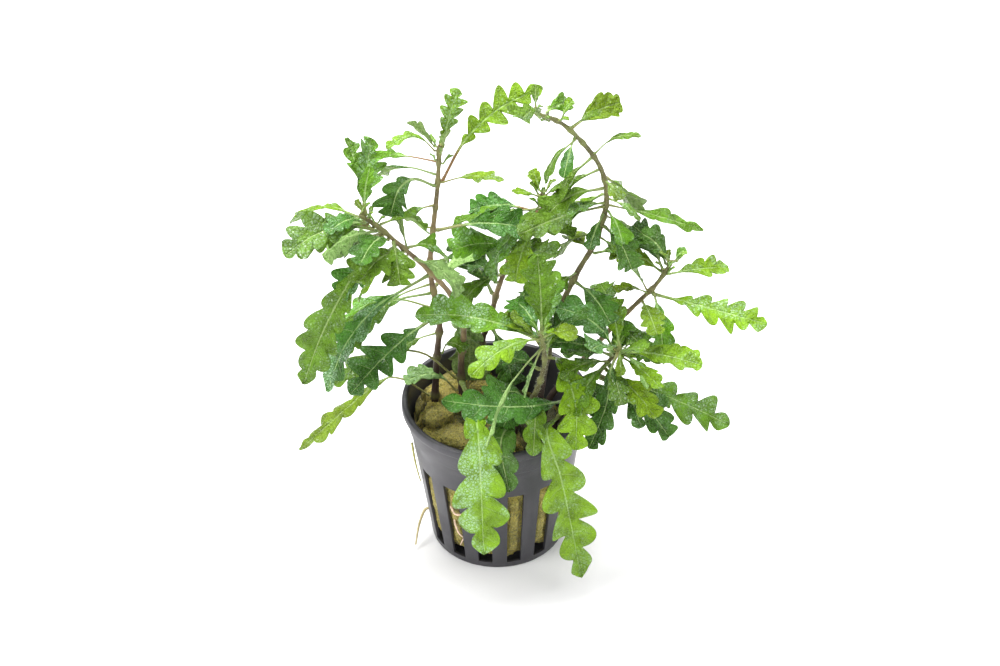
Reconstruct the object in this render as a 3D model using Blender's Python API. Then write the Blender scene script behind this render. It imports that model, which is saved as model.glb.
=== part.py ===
"""Hygrophila with lobed leaves, growing from rock wool in a slotted nursery pot.

Run with: blender --background --python part.py
Metres, +Z up. The pot's base is centred on the origin, on z = 0, and the side seen first faces -Y.
"""

import math
from typing import NamedTuple

import bmesh
import bpy
from mathutils import Matrix, Vector

# ---------------------------------------------------------------- driving sizes, metres

MM = 0.001
CLEARANCE = 0.3 * MM  # gap between pieces that touch

POT_HEIGHT = 50.0 * MM
RIM_RADIUS = 27.8 * MM
BASE_RADIUS = 20.2 * MM
WALL = 1.0 * MM
BASE_THICKNESS = 1.4 * MM
RIM_LIP = 0.7 * MM  # how far the rolled rim stands out from the wall
RIM_DEPTH = 3.0 * MM
COLLAR_DEPTH = 9.0 * MM  # from the rim's top down to the step below it
COLLAR_STEP = 0.4 * MM
SLOT_COUNT = 15
SLOT_WIDTH = 4.9 * MM  # at a slot's upper end
SLOT_FOOT_WIDTH = 4.2 * MM
SLOT_FOOT = 2.3 * MM  # from the ground up to a slot's lower end
SLOT_HEAD = 18.7 * MM  # from the rim's top down to a slot's upper end
SLOT_ROUND = 0.7 * MM
SLOT_TURN = -77.0  # degrees, where the first slot stands
POT_STEPS = 60

WOOL_DEPTH = 6.0 * MM  # from the rim's top down to the wool
SOCKET_DEPTH = 9.0 * MM  # how deep a stem stands in the wool

STEM_FOOT_RADIUS = 1.25 * MM
STEM_TIP_RADIUS = 0.6 * MM
STEM_SIDES = 8
STEM_RINGS = 13  # above the wool

LEAF_THICKNESS = 0.7 * MM
LEAF_FOLD = 0.14  # how far the edges rise above the midrib, per half width
LOBE_SWEEP = 0.35  # how far a lobe leans to the tip, per half width

ROOT_RADIUS = 0.5 * MM

# ---------------------------------------------------------------- the plant's layout

# Where each stem is planted, as shares of the wool's radius.
PLANTED = {
    "tall": (-0.74, 0.31),
    "leaning": (-0.41, 0.32),
    "back": (-0.16, 0.75),
    "arching": (0.50, -0.26),
    "right": (0.58, 0.02),
    "low": (0.69, -0.24),
    "front": (0.22, -0.30),
}

# The route of each stem above its foot: millimetres from the pot's axis, and up from the rim's top.
ROUTES = {
    "tall": ((-17, 8, 10), (-16, 8, 21), (-17, 7, 31), (-18, 6, 42), (-17, 6, 53), (-15, 5, 70), (-14, 5, 84)),
    "leaning": ((-10, 8, 7), (-9, 5, 22), (-12, 2, 35), (-19, -2, 48), (-25, -5, 57), (-31, -7, 65), (-36, -8, 70)),
    "back": ((-4, 19, 5), (-1, 19, 15), (1, 18, 25), (5, 16, 38), (10, 15, 48), (14, 14, 55), (14, 14, 62)),
    "arching": (
        (13, -5, 3),
        (15, -2, 15),
        (19, 3, 29),
        (24, 7, 39),
        (29, 10, 47),
        (32, 12, 57),
        (32, 12, 65),
        (30, 12, 72),
        (26, 11, 79),
        (21, 9, 86),
        (17, 7, 90),
        (12, 5, 93),
    ),
    "right": ((17, 1, 0), (23, 2, 7), (33, 4, 20), (41, 5, 29), (46, 5, 35), (49, 5, 40), (51, 5, 44)),
    "low": ((19, -6, -2), (24, -7, 5), (31, -8, 16), (36, -9, 24)),
    "front": ((8, -8, 0), (11, -11, 8), (14, -14, 22), (13, -16, 35)),
}


class Leaf(NamedTuple):
    """A leaf that stands free: its stem, where on it, and the way from its foot to its tip, in millimetres."""

    name: str
    stem: str
    at: float  # share of the stem's length
    reach: tuple  # from the foot to the tip
    bow: float  # how far the middle rises above a straight line
    sway: float  # how far the middle bends to the left
    width: float  # over the lobes
    roll: float  # degrees about its own length
    stalk: float  # share of its length without a blade
    lobes: int  # on each side
    depth: float  # of the cuts between lobes, per half width
    tone: str


class Trailer(NamedTuple):
    """A leaf that reaches the pot's rim: after its foot, each point is (degrees, mm outside the rim, mm above it)."""

    name: str
    stem: str
    at: float
    over: tuple
    width: float
    roll: float
    stalk: float
    lobes: int
    depth: float
    tone: str


LEAVES = (
    # the tall stem
    Leaf("tall_leaf_upright", "tall", 0.97, (5, 8, 15), 1, 0, 8, 60, 0.15, 5, 0.45, "young"),
    Leaf("tall_leaf_arched", "tall", 0.98, (-13, -5, 4), 4, 0, 5, 0, 0.25, 4, 0.4, "young"),
    Leaf("tall_leaf_long", "tall", 0.88, (28, 7, 25), 5, 0, 10, 45, 0.28, 6, 0.55, "young"),
    Leaf("tall_leaf_level", "tall", 0.88, (17, -9, 6), 4, 0, 6, 0, 0.3, 4, 0.4, "young"),
    Leaf("tall_leaf_far", "tall", 0.94, (-24, 16, -10), 2, 0, 6, -10, 0.3, 5, 0.4, "mid"),
    Leaf("tall_leaf_twisted", "tall", 0.87, (-12, -9, -4), 7, 0, 8, -45, 0.4, 4, 0.4, "dark"),
    Leaf("tall_leaf_right", "tall", 0.71, (26, 4, -3), 2, 0, 11, 25, 0.3, 4, 0.35, "dark"),
    Leaf("tall_leaf_turned", "tall", 0.50, (10, 15, 2), 2, 0, 11, -15, 0.2, 4, 0.3, "pale"),
    Leaf("tall_leaf_left", "tall", 0.49, (-25, -15, -10), 6, 0, 9, -10, 0.25, 5, 0.35, "mid"),
    Leaf("tall_leaf_lobed", "tall", 0.40, (-24, -22, -11), 2, 0, 14, -10, 0.15, 5, 0.5, "dark"),
    # the leaning stem
    Leaf("leaning_leaf_glossy", "leaning", 0.67, (-29, -15, -29), 7, 0, 11, 0, 0.2, 5, 0.4, "dark"),
    Leaf("leaning_leaf_low", "leaning", 0.17, (-35, -14, 9), 11, 0, 9, 0, 0.45, 4, 0.35, "mid"),
    Leaf("leaning_leaf_silver", "leaning", 0.90, (-23, -17, -38), 3, 0, 12, -25, 0.2, 6, 0.35, "dark"),
    Leaf("leaning_leaf_upright", "leaning", 0.99, (6, 14, 15), 1, 0, 10, 45, 0.12, 5, 0.45, "mid"),
    Leaf("leaning_leaf_yellow", "leaning", 0.99, (-20, 13, -10), 4, 0, 8, 10, 0.15, 4, 0.4, "young"),
    Leaf("leaning_leaf_large", "leaning", 0.94, (-23, -14, 1), 4, 0, 12, -20, 0.12, 5, 0.4, "dark"),
    Leaf("leaning_leaf_pale", "leaning", 0.92, (-15, -3, -6), 2, 0, 9, -20, 0.15, 4, 0.35, "pale"),
    Leaf("leaning_leaf_round", "leaning", 0.81, (-11, -17, 2), 3, 0, 12, 0, 0.15, 4, 0.35, "dark"),
    Leaf("leaning_leaf_inner", "leaning", 0.40, (1, 8, -15), 3, 0, 10, 0, 0.15, 4, 0.3, "mid"),
    # the back stem
    Leaf("back_leaf_dark", "back", 0.48, (-11, 10, 12), 2, 0, 12, -45, 0.15, 4, 0.35, "dark"),
    Leaf("back_leaf_light", "back", 0.65, (13, -14, 13), 3, 0, 10, 20, 0.15, 5, 0.35, "mid"),
    Leaf("back_leaf_blue", "back", 0.91, (-19, 3, 3), 2, 0, 8, -10, 0.3, 4, 0.35, "dark"),
    # the front stem
    Leaf("front_leaf_upright", "front", 0.99, (-1, 4, 23), 1, 0, 11, -10, 0.1, 5, 0.35, "mid"),
    Leaf("front_leaf_young", "front", 0.97, (-19, -18, 1), 3, 0, 9, -15, 0.12, 4, 0.4, "young"),
    Leaf("front_leaf_round", "front", 0.98, (8, -6, 3), 2, 0, 7, 0, 0.15, 3, 0.2, "young"),
    Leaf("front_leaf_wide", "front", 0.95, (-34, 4, 6), 3, 0, 12, -25, 0.12, 5, 0.3, "mid"),
    # the arching stem
    Leaf("arching_leaf_crown", "arching", 0.99, (-5, -8, 1), 2, 0, 8, 0, 0.12, 4, 0.3, "mid"),
    Leaf("arching_leaf_oval", "arching", 0.89, (13, 6, 4), 1, 0, 8, 55, 0.15, 4, 0.2, "young"),
    Leaf("arching_leaf_hanging", "arching", 0.79, (-9, -1, -20), 3, 0, 9, 0, 0.12, 4, 0.35, "mid"),
    Leaf("arching_leaf_left", "arching", 0.65, (-24, -18, 3), 1, 0, 9, -15, 0.25, 4, 0.35, "mid"),
    Leaf("arching_leaf_right", "arching", 0.65, (27, 4, -12), 4, 0, 7, 0, 0.2, 4, 0.3, "mid"),
    Leaf("arching_leaf_bright", "arching", 0.62, (6, 10, -20), 3, 0, 9, 0, 0.15, 4, 0.3, "young"),
    # the low stem
    Leaf("low_leaf_across", "low", 0.45, (-37, -11, 9), 3, 7.5, 11, -30, 0.15, 5, 0.35, "dark"),
    Leaf("low_leaf_left", "low", 0.96, (-17, -1, 16), 3, 0, 10, -35, 0.12, 4, 0.35, "dark"),
    Leaf("low_leaf_top", "low", 0.99, (-2, 12, 7), 1, 0, 9, 0, 0.1, 3, 0.3, "young"),
    Leaf("low_leaf_pale", "low", 0.98, (22, -7, 0), 3, 0, 9, 20, 0.12, 6, 0.12, "young"),
    Leaf("low_leaf_long", "low", 0.72, (37, -6, -14), 5, 0, 13, 10, 0.2, 5, 0.45, "mid"),
    # the right stem
    Leaf("right_leaf_tip", "right", 0.93, (18, 7, -3), 2, 0, 7, 10, 0.15, 4, 0.35, "young"),
    Leaf("right_leaf_dark", "right", 0.94, (-8, 9, 9), 2, 0, 8, -40, 0.15, 4, 0.3, "dark"),
    Leaf("right_leaf_hanging", "right", 0.84, (2, -13, -14), 3, 0, 8, 0, 0.15, 4, 0.35, "mid"),
    Leaf("right_leaf_large", "right", 0.83, (32, -9, -5), 3, 0, 12, 25, 0.15, 6, 0.45, "young"),
)

TRAILERS = (
    Trailer("front_leaf_edge", "front", 0.89, ((-69, -5, 27), (-86, -1, 20), (-95, 5, 8)), 6, 50, 0.35, 5, 0.3, "pale"),
    Trailer("arching_leaf_front", "arching", 0.26, ((-30, -6, 20), (-43, 3, 13), (-51, 8, 2)), 13, 0, 0.15, 5, 0.45, "mid"),
    Trailer("low_leaf_hanging", "low", 0.96, ((-23, 8, 20), (-31, 9, 11), (-40, 7, -2)), 10, 0, 0.12, 5, 0.35, "dark"),
    Trailer(
        "leaning_trailer", "leaning", 0.16, ((-103, -3, 10), (-98, 5, -6), (-97, 7, -31)), 15, 0, 0.2, 5, 0.4, "young"
    ),
    Trailer("front_trailer", "front", 0.3, ((-87, -1, 5), (-84, 5, -9)), 10, 0, 0.2, 4, 0.3, "dark"),
    Trailer("low_trailer", "low", 0.3, ((-60, 1, 6), (-58, 7, -8), (-51, 11, -45)), 15, 0, 0.12, 6, 0.5, "mid"),
    Trailer("tall_trailer", "tall", 0.1, ((170, 1, 3.4), (176, 8, 2.5), (184, 31, -16)), 8, 0, 0.3, 6, 0.35, "young"),
)

TONES = {
    "young": ((0.24, 0.44, 0.02), 0.42),
    "mid": ((0.07, 0.27, 0.03), 0.40),
    "dark": ((0.025, 0.13, 0.035), 0.32),
    "pale": ((0.26, 0.42, 0.14), 0.50),
}
POT_COLOUR = (0.035, 0.033, 0.040)
WOOL_COLOUR = (0.30, 0.24, 0.07)
BARK_COLOUR = (0.16, 0.11, 0.06)
ROOT_COLOUR = (0.45, 0.28, 0.16)

# ---------------------------------------------------------------- the pot's wall


def outer_radius(height):
    """Radius of the wall's outside below the collar, which widens evenly from the base."""
    top = RIM_RADIUS - RIM_LIP - COLLAR_STEP
    return BASE_RADIUS + (top - BASE_RADIUS) * height / POT_HEIGHT


def inner_radius(height):
    return outer_radius(height) - WALL


WOOL_TOP = POT_HEIGHT - WOOL_DEPTH
WOOL_RADIUS = inner_radius(WOOL_TOP) - CLEARANCE


# ---------------------------------------------------------------- shared helpers


class Path:
    """A smooth curve through a few points, read by share of its length."""

    STEPS = 12  # between two points

    def __init__(self, points):
        ends = [2 * points[0] - points[1], *points, 2 * points[-1] - points[-2]]
        self.line = [points[0]]
        for a, b, c, d in zip(ends, ends[1:], ends[2:], ends[3:]):
            for step in range(1, self.STEPS + 1):
                t = step / self.STEPS
                even = 2 * b + (c - a) * t
                curved = (2 * a - 5 * b + 4 * c - d) * t**2 + (3 * b - a - 3 * c + d) * t**3
                self.line.append((even + curved) / 2)
        self.run = [0.0]
        for start, end in zip(self.line, self.line[1:]):
            self.run.append(self.run[-1] + (end - start).length)

    def point(self, share):
        goal = min(max(share, 0.0), 1.0) * self.run[-1]
        index = next((i for i, run in enumerate(self.run[1:]) if run >= goal), len(self.run) - 2)
        part = (goal - self.run[index]) / (self.run[index + 1] - self.run[index])
        return self.line[index].lerp(self.line[index + 1], part)

    def tangent(self, share):
        step = 0.02
        return (self.point(share + step) - self.point(share - step)).normalized()


def surface_material(name, colour, roughness):
    material = bpy.data.materials.get(name)
    if material:
        return material
    material = bpy.data.materials.new(name)
    material.use_nodes = True
    shader = material.node_tree.nodes["Principled BSDF"]
    shader.inputs["Base Color"].default_value = (*colour, 1.0)
    shader.inputs["Roughness"].default_value = roughness
    shader.inputs["Metallic"].default_value = 0.0
    material.diffuse_color = (*colour, 1.0)
    return material


def add_object(name, mesh_builder, material):
    """Makes an object of a bmesh, with its normals outward."""
    bmesh.ops.recalc_face_normals(mesh_builder, faces=mesh_builder.faces)
    mesh = bpy.data.meshes.new(name)
    mesh_builder.to_mesh(mesh)
    mesh_builder.free()
    if material:
        mesh.materials.append(material)
    obj = bpy.data.objects.new(name, mesh)
    bpy.context.scene.collection.objects.link(obj)
    return obj


def skin_rings(rings):
    """Bridges a row of rings with the same number of points, and caps both ends."""
    builder = bmesh.new()
    loops = [[builder.verts.new(point) for point in ring] for ring in rings]
    for lower, upper in zip(loops, loops[1:]):
        for i in range(len(lower)):
            j = (i + 1) % len(lower)
            builder.faces.new((lower[i], lower[j], upper[j], upper[i]))
    builder.faces.new(reversed(loops[0]))
    builder.faces.new(loops[-1])
    return builder


def tube_rings(path, radius_at, shares):
    """Round sections square to a path, kept from turning about it."""
    rings = []
    side = Vector((1, 0, 0))
    for share in shares:
        along = path.tangent(share)
        side = (side - side.dot(along) * along).normalized()
        other = along.cross(side)
        centre = path.point(share)
        ring = []
        for i in range(STEM_SIDES):
            turn = math.tau * i / STEM_SIDES
            ring.append(centre + radius_at(share) * (math.cos(turn) * side + math.sin(turn) * other))
        rings.append(ring)
    return rings


def cut(obj, cutter):
    """Takes one hidden object's shape out of another."""
    cutter.hide_render = True
    cutter.hide_set(True)
    modifier = obj.modifiers.new("cut", "BOOLEAN")
    modifier.operation = "DIFFERENCE"
    modifier.solver = "EXACT"
    modifier.object = cutter


# ---------------------------------------------------------------- pot and wool


def spin_profile(profile):
    """Turns a profile of (radius, height) pairs, both ends on the axis, into a closed body."""
    builder = bmesh.new()
    line = [builder.verts.new((radius, 0, height)) for radius, height in profile]
    edges = [builder.edges.new(pair) for pair in zip(line, line[1:])]
    bmesh.ops.spin(
        builder,
        geom=line + edges,
        cent=(0, 0, 0),
        axis=(0, 0, 1),
        angle=math.tau,
        steps=POT_STEPS,
        use_merge=True,
    )
    bmesh.ops.remove_doubles(builder, verts=builder.verts, dist=0.001 * MM)
    return builder


def slot_cutters():
    """One rounded bar across the wall for each slot."""
    builder = bmesh.new()
    foot = SLOT_FOOT
    head = POT_HEIGHT - SLOT_HEAD
    reach = 3 * (outer_radius(head) - inner_radius(foot))
    middle = (inner_radius(foot) + outer_radius(head)) / 2
    for i in range(SLOT_COUNT):
        made = bmesh.ops.create_cube(builder, size=1.0)
        corners = made["verts"]
        for corner in corners:
            width = SLOT_WIDTH if corner.co.z > 0 else SLOT_FOOT_WIDTH
            corner.co = Vector((corner.co.x * reach, corner.co.y * width, corner.co.z * (head - foot)))
        edges = {edge for corner in corners for edge in corner.link_edges}
        across = [edge for edge in edges if abs(edge.verts[0].co.x - edge.verts[1].co.x) > reach / 2]
        rounded = bmesh.ops.bevel(
            builder, geom=across, offset=SLOT_ROUND, segments=2, profile=0.5, affect="EDGES"
        )
        corners = {v for v in rounded["verts"]} | {v for v in corners if v.is_valid}
        turn = Matrix.Rotation(math.radians(SLOT_TURN) + math.tau * i / SLOT_COUNT, 4, "Z")
        place = turn @ Matrix.Translation((middle, 0, (foot + head) / 2))
        bmesh.ops.transform(builder, matrix=place, verts=list(corners))
    return add_object("slot_cutters", builder, None)


def make_pot():
    collar = POT_HEIGHT - COLLAR_DEPTH
    under_rim = POT_HEIGHT - RIM_DEPTH
    chamfer = 0.5 * MM
    profile = (
        (0, 0),
        (BASE_RADIUS - chamfer, 0),
        (outer_radius(chamfer), chamfer),
        (outer_radius(collar), collar),
        (outer_radius(collar) + COLLAR_STEP, collar + COLLAR_STEP),
        (outer_radius(under_rim) + COLLAR_STEP, under_rim),
        (RIM_RADIUS - chamfer, under_rim),
        (RIM_RADIUS, under_rim + chamfer),
        (RIM_RADIUS, POT_HEIGHT - chamfer),
        (RIM_RADIUS - chamfer, POT_HEIGHT),
        (inner_radius(POT_HEIGHT) + COLLAR_STEP, POT_HEIGHT),
        (inner_radius(under_rim) + COLLAR_STEP, under_rim),
        (inner_radius(collar), collar),
        (inner_radius(BASE_THICKNESS), BASE_THICKNESS),
        (0, BASE_THICKNESS),
    )
    pot = add_object("pot", spin_profile(profile), surface_material("charcoal_plastic", POT_COLOUR, 0.45))
    cut(pot, slot_cutters())


def make_wool(paths):
    """The plug of rock wool, with a socket for each stem."""
    foot = BASE_THICKNESS + CLEARANCE
    shoulder = 1.0 * MM
    profile = (
        (0, foot),
        (inner_radius(foot) - CLEARANCE, foot),
        (inner_radius(WOOL_TOP - shoulder) - CLEARANCE, WOOL_TOP - shoulder),
        (WOOL_RADIUS - shoulder, WOOL_TOP),
        (0, WOOL_TOP),
    )
    wool = add_object("rock_wool", spin_profile(profile), surface_material("wool", WOOL_COLOUR, 0.95))
    for name, path in paths.items():
        rings = tube_rings(path, lambda share: stem_radius(share) + CLEARANCE, buried_shares(path))
        below = -CLEARANCE * path.tangent(0)
        rings.insert(0, [point + below for point in rings[0]])
        cut(wool, add_object(f"{name}_socket_cutter", skin_rings(rings), None))


def make_tuft(name, x, y, width, length, height, turn):
    """A torn lump of wool lying on the plug."""
    builder = bmesh.new()
    made = bmesh.ops.create_icosphere(builder, subdivisions=2, radius=1.0)
    for vert in made["verts"]:
        lump = 1 + 0.12 * math.sin(3 * vert.co.x + 5 * vert.co.y) * math.cos(4 * vert.co.y - vert.co.x)
        vert.co = Vector((vert.co.x * width / 2 * lump, vert.co.y * length / 2 * lump, vert.co.z * height * lump))
    turned = Matrix.Translation((x * WOOL_RADIUS, y * WOOL_RADIUS, 0)) @ Matrix.Rotation(math.radians(turn), 4, "Z")
    bmesh.ops.transform(builder, matrix=turned, verts=builder.verts)
    for vert in builder.verts:
        vert.co.z = max(vert.co.z, 0.1 * vert.co.z)
    lowest = min(vert.co.z for vert in builder.verts)
    bmesh.ops.translate(builder, vec=(0, 0, -lowest), verts=builder.verts)
    bmesh.ops.translate(builder, vec=(0, 0, WOOL_TOP + CLEARANCE), verts=builder.verts)
    add_object(name, builder, surface_material("wool", WOOL_COLOUR, 0.95))


# ---------------------------------------------------------------- stems and roots


def stem_radius(share):
    """Thick at the foot, thin at the tip."""
    return STEM_FOOT_RADIUS + (STEM_TIP_RADIUS - STEM_FOOT_RADIUS) * min(max(share, 0.0), 1.0) ** 0.8


def stem_path(name):
    x, y = PLANTED[name]
    foot = Vector((x * WOOL_RADIUS, y * WOOL_RADIUS, WOOL_TOP - SOCKET_DEPTH))
    collar = Vector((foot.x, foot.y, WOOL_TOP - 1 * MM))
    rim = Vector((0, 0, POT_HEIGHT))
    return Path([foot, collar, *(rim + MM * Vector(point) for point in ROUTES[name])])


def buried_shares(path):
    """Where a stem and its socket both have rings, from the stem's foot to clear of the wool."""
    last = (SOCKET_DEPTH + 4 * MM) / path.run[-1]
    return [last * i / 4 for i in range(5)]


def make_stem(name, path):
    buried = buried_shares(path)
    open_air = 1 - buried[-1]
    shares = buried + [buried[-1] + open_air * (i + 1) / STEM_RINGS for i in range(STEM_RINGS)]
    builder = skin_rings(tube_rings(path, stem_radius, shares))
    add_object(f"{name}_stem", builder, surface_material("bark", BARK_COLOUR, 0.7))


def make_root():
    """A root that has grown out through a slot and hangs down the wall."""
    turn = math.radians(SLOT_TURN) - 4 * math.tau / SLOT_COUNT
    outward = Vector((math.cos(turn), math.sin(turn), 0))
    start = 9 * MM
    face = outer_radius(start)
    points = [
        outward * (inner_radius(start) + CLEARANCE) + Vector((0, 0, start)),
        outward * (face + 1.2 * MM) + Vector((0, -0.5 * MM, start - 0.5 * MM)),
        outward * (face + 3.0 * MM) + Vector((0, -4 * MM, start - 3.5 * MM)),
        outward * (face + 4.0 * MM) + Vector((0, -8 * MM, start - 7.5 * MM)),
    ]
    shares = [i / 9 for i in range(10)]
    rings = tube_rings(Path(points), lambda share: ROOT_RADIUS * (1 - 0.4 * share), shares)
    add_object("root_strand", skin_rings(rings), surface_material("root_skin", ROOT_COLOUR, 0.6))


# ---------------------------------------------------------------- leaves


def blade_share(along, lobes, depth):
    """Half width of the blade as a share of the widest, from its foot (0) to its tip (1)."""
    outline = abs(math.sin(math.pi * (0.06 + 0.94 * along) ** 0.85)) ** 0.75
    return outline * (1 - depth * (0.5 + 0.5 * math.cos(math.tau * lobes * along)))


def leaf_foot(path, at, toward):
    """The point beside the stem where a leaf starts, on the side that it grows to."""
    centre = path.point(at)
    along = path.tangent(at)
    outward = toward - centre
    outward = (outward - outward.dot(along) * along).normalized()
    return centre + outward * (stem_radius(at) + 2 * CLEARANCE)


def leaf_points(leaf, path):
    """The route of a free leaf: its foot, two points along it and its tip."""
    reach = MM * Vector(leaf.reach)
    foot = leaf_foot(path, leaf.at, path.point(leaf.at) + reach)
    side = Vector((-reach.y, reach.x, 0)).normalized()
    rise = reach.cross(side).normalized()
    bend = 8 / 9 * MM * (leaf.bow * rise + leaf.sway * side)
    return [foot, foot + reach / 3 + bend, foot + reach * 2 / 3 + bend, foot + reach]


def trailer_points(trailer, path):
    """The route of a leaf over the rim, tied to the rim's own size."""
    points = []
    for degrees, out, up in trailer.over:
        turn = math.radians(degrees)
        radius = RIM_RADIUS + out * MM
        points.append(Vector((radius * math.cos(turn), radius * math.sin(turn), POT_HEIGHT + up * MM)))
    return [leaf_foot(path, trailer.at, points[0]), *points]


def leaf_rings(points, leaf):
    """Four-cornered sections of a leaf: a square stalk, then a thin blade with lobes."""
    spine = Path(points)
    reach = points[-1] - points[0]
    level = Vector((-reach.y, reach.x, 0)).normalized()
    stalk_half = max(0.28 * MM, 0.045 * leaf.width * MM)
    steps = 2 * leaf.lobes
    blade = [leaf.stalk + (1 - leaf.stalk) * i / steps for i in range(steps)]
    rings = []
    for share in [0, leaf.stalk / 2, *blade, 1]:
        along = spine.tangent(share)
        side = (level - level.dot(along) * along).normalized()
        turn = math.radians(leaf.roll) * min(1.0, share / 0.35)
        side.rotate(Matrix.Rotation(turn, 3, along))
        normal = along.cross(side)
        centre = spine.point(share)
        progress = (share - leaf.stalk) / (1 - leaf.stalk)
        half = stalk_half
        thick = stalk_half
        lift = 0.0
        sweep = 0.0
        if progress > 0:
            half = max(0.2 * MM, leaf.width / 2 * MM * blade_share(progress, leaf.lobes, leaf.depth))
            thick = max(0.15 * MM, LEAF_THICKNESS / 2 * (1 - 0.5 * progress))
            lift = LEAF_FOLD * half
            sweep = LOBE_SWEEP * half
        edge = lift * normal + sweep * along
        rings.append(
            [
                centre + half * side + edge,
                centre + thick * normal,
                centre - half * side + edge,
                centre - thick * normal,
            ]
        )
    return rings


def make_leaf(leaf, points):
    colour, roughness = TONES[leaf.tone]
    material = surface_material(f"{leaf.tone}_leaf", colour, roughness)
    add_object(leaf.name, skin_rings(leaf_rings(points, leaf)), material)


# ---------------------------------------------------------------- assembly


def main():
    for obj in list(bpy.data.objects):
        bpy.data.objects.remove(obj)
    paths = {name: stem_path(name) for name in ROUTES}
    make_pot()
    make_wool(paths)
    make_tuft("wool_tuft_left", -0.70, -0.12, 9 * MM, 7 * MM, 2.6 * MM, 40)
    make_tuft("wool_tuft_front", -0.40, -0.58, 12 * MM, 9 * MM, 3.0 * MM, -20)
    for name, path in paths.items():
        make_stem(name, path)
    for leaf in LEAVES:
        make_leaf(leaf, leaf_points(leaf, paths[leaf.stem]))
    for trailer in TRAILERS:
        make_leaf(trailer, trailer_points(trailer, paths[trailer.stem]))
    make_root()


main()
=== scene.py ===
"""Looks for the potted hygrophila: fine lobed leaves, hairy stems, rock wool and a moulded net pot."""

import math
import random
from typing import NamedTuple

import bmesh
import bpy
import numpy as np
from bpy.props import FloatProperty, FloatVectorProperty, IntProperty, PointerProperty
from mathutils import Matrix, Vector, noise


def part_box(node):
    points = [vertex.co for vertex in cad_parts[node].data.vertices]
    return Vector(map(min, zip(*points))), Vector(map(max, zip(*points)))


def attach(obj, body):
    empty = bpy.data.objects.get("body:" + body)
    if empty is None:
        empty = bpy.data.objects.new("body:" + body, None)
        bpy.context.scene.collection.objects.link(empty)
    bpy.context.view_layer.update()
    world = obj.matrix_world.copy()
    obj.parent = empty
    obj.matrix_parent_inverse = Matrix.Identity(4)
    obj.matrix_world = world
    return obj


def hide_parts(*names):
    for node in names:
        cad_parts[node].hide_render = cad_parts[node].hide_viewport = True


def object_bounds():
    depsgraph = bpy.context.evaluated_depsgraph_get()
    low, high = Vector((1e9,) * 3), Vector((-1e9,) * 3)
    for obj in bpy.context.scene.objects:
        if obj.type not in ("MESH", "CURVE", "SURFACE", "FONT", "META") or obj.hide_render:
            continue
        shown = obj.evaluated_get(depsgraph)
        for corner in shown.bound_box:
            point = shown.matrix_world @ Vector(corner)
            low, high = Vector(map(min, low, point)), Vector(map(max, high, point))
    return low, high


bl_info = {
    "name": "Potted Hygrophila",
    "version": (1, 0, 0),
    "blender": (4, 5, 0),
    "location": "3D View > Sidebar > Hygrophila",
    "description": "Grows the leaves, stems, wool and pot of a hygrophila round its packed model",
    "category": "Object",
}

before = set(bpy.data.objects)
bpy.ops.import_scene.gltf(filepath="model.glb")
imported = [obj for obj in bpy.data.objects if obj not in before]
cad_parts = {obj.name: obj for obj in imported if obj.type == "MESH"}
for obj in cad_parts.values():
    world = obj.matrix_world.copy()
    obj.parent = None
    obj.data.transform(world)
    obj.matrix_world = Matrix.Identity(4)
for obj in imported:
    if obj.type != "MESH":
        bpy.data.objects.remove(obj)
CAD_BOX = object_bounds()
POT_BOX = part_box("pot")
WOOL_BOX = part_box("rock_wool")

MM = 0.001
POT_TOP = POT_BOX[1].z
PLACE_SLACK = 6 * MM  # how far a fine piece's middle may lie from its solid's

# ---------------------------------------------------------------- settings


def length(name, description, default):
    shown = {"name": name, "description": description}
    return FloatProperty(default=default, unit="LENGTH", precision=5, min=0, **shown)


def share(name, description, default):
    return FloatProperty(name=name, description=description, default=default, subtype="FACTOR", min=0, max=1)


def colour(name, description, default):
    return FloatVectorProperty(
        name=name, description=description, default=default, subtype="COLOR", size=3, min=0, max=1
    )


class PotSettings(bpy.types.PropertyGroup):
    """Sizes and finish of the net pot"""

    rim_radius: length("Rim radius", "Outside radius of the rolled rim", (POT_BOX[1].x - POT_BOX[0].x) / 2)
    base_radius: length("Base radius", "Outside radius at the ground", 20.2 * MM)
    wall: length("Wall", "Thickness of the wall", 1.0 * MM)
    rim_lip: length("Rim lip", "How far the rim stands out from the wall", 0.7 * MM)
    rim_depth: length("Rim depth", "Height of the rolled rim", 3.0 * MM)
    collar_depth: length("Collar depth", "From the rim's top down to the step", 9.0 * MM)
    collar_step: length("Collar step", "How far the collar stands out", 0.4 * MM)
    slot_count: IntProperty(name="Slots", description="Slots round the wall", default=15, min=3, max=60)
    slot_width: length("Slot width", "Width of a slot at its upper end", 4.9 * MM)
    slot_foot_width: length("Slot foot width", "Width of a slot at its lower end", 4.2 * MM)
    slot_foot: length("Slot foot", "From the ground up to a slot", 2.3 * MM)
    slot_head: length("Slot head", "From the rim's top down to a slot", 18.7 * MM)
    plastic: colour("Plastic", "Colour of the moulded plastic", (0.036, 0.035, 0.041))
    scuffs: colour("Scuffs", "Colour where the plastic is rubbed", (0.085, 0.085, 0.094))


class WoolSettings(bpy.types.PropertyGroup):
    """Sizes and colours of the rock wool"""

    plug_lump: length("Plug lumps", "How deep the plug's surface is torn", 0.7 * MM)
    bulge: length("Bulge", "How far the wool swells into a slot", 1.1 * MM)
    fibre_radius: length("Fibre radius", "Radius of one loose fibre", 0.08 * MM)
    fibres: IntProperty(name="Fibres", description="Number of loose fibres", default=1800, min=0)
    bright: colour("Bright wool", "Colour of the clean wool", (0.62, 0.52, 0.13))
    dull: colour("Dull wool", "Colour of the wet wool", (0.27, 0.22, 0.05))
    algae: colour("Algae", "Colour of the green film on it", (0.08, 0.10, 0.02))


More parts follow.
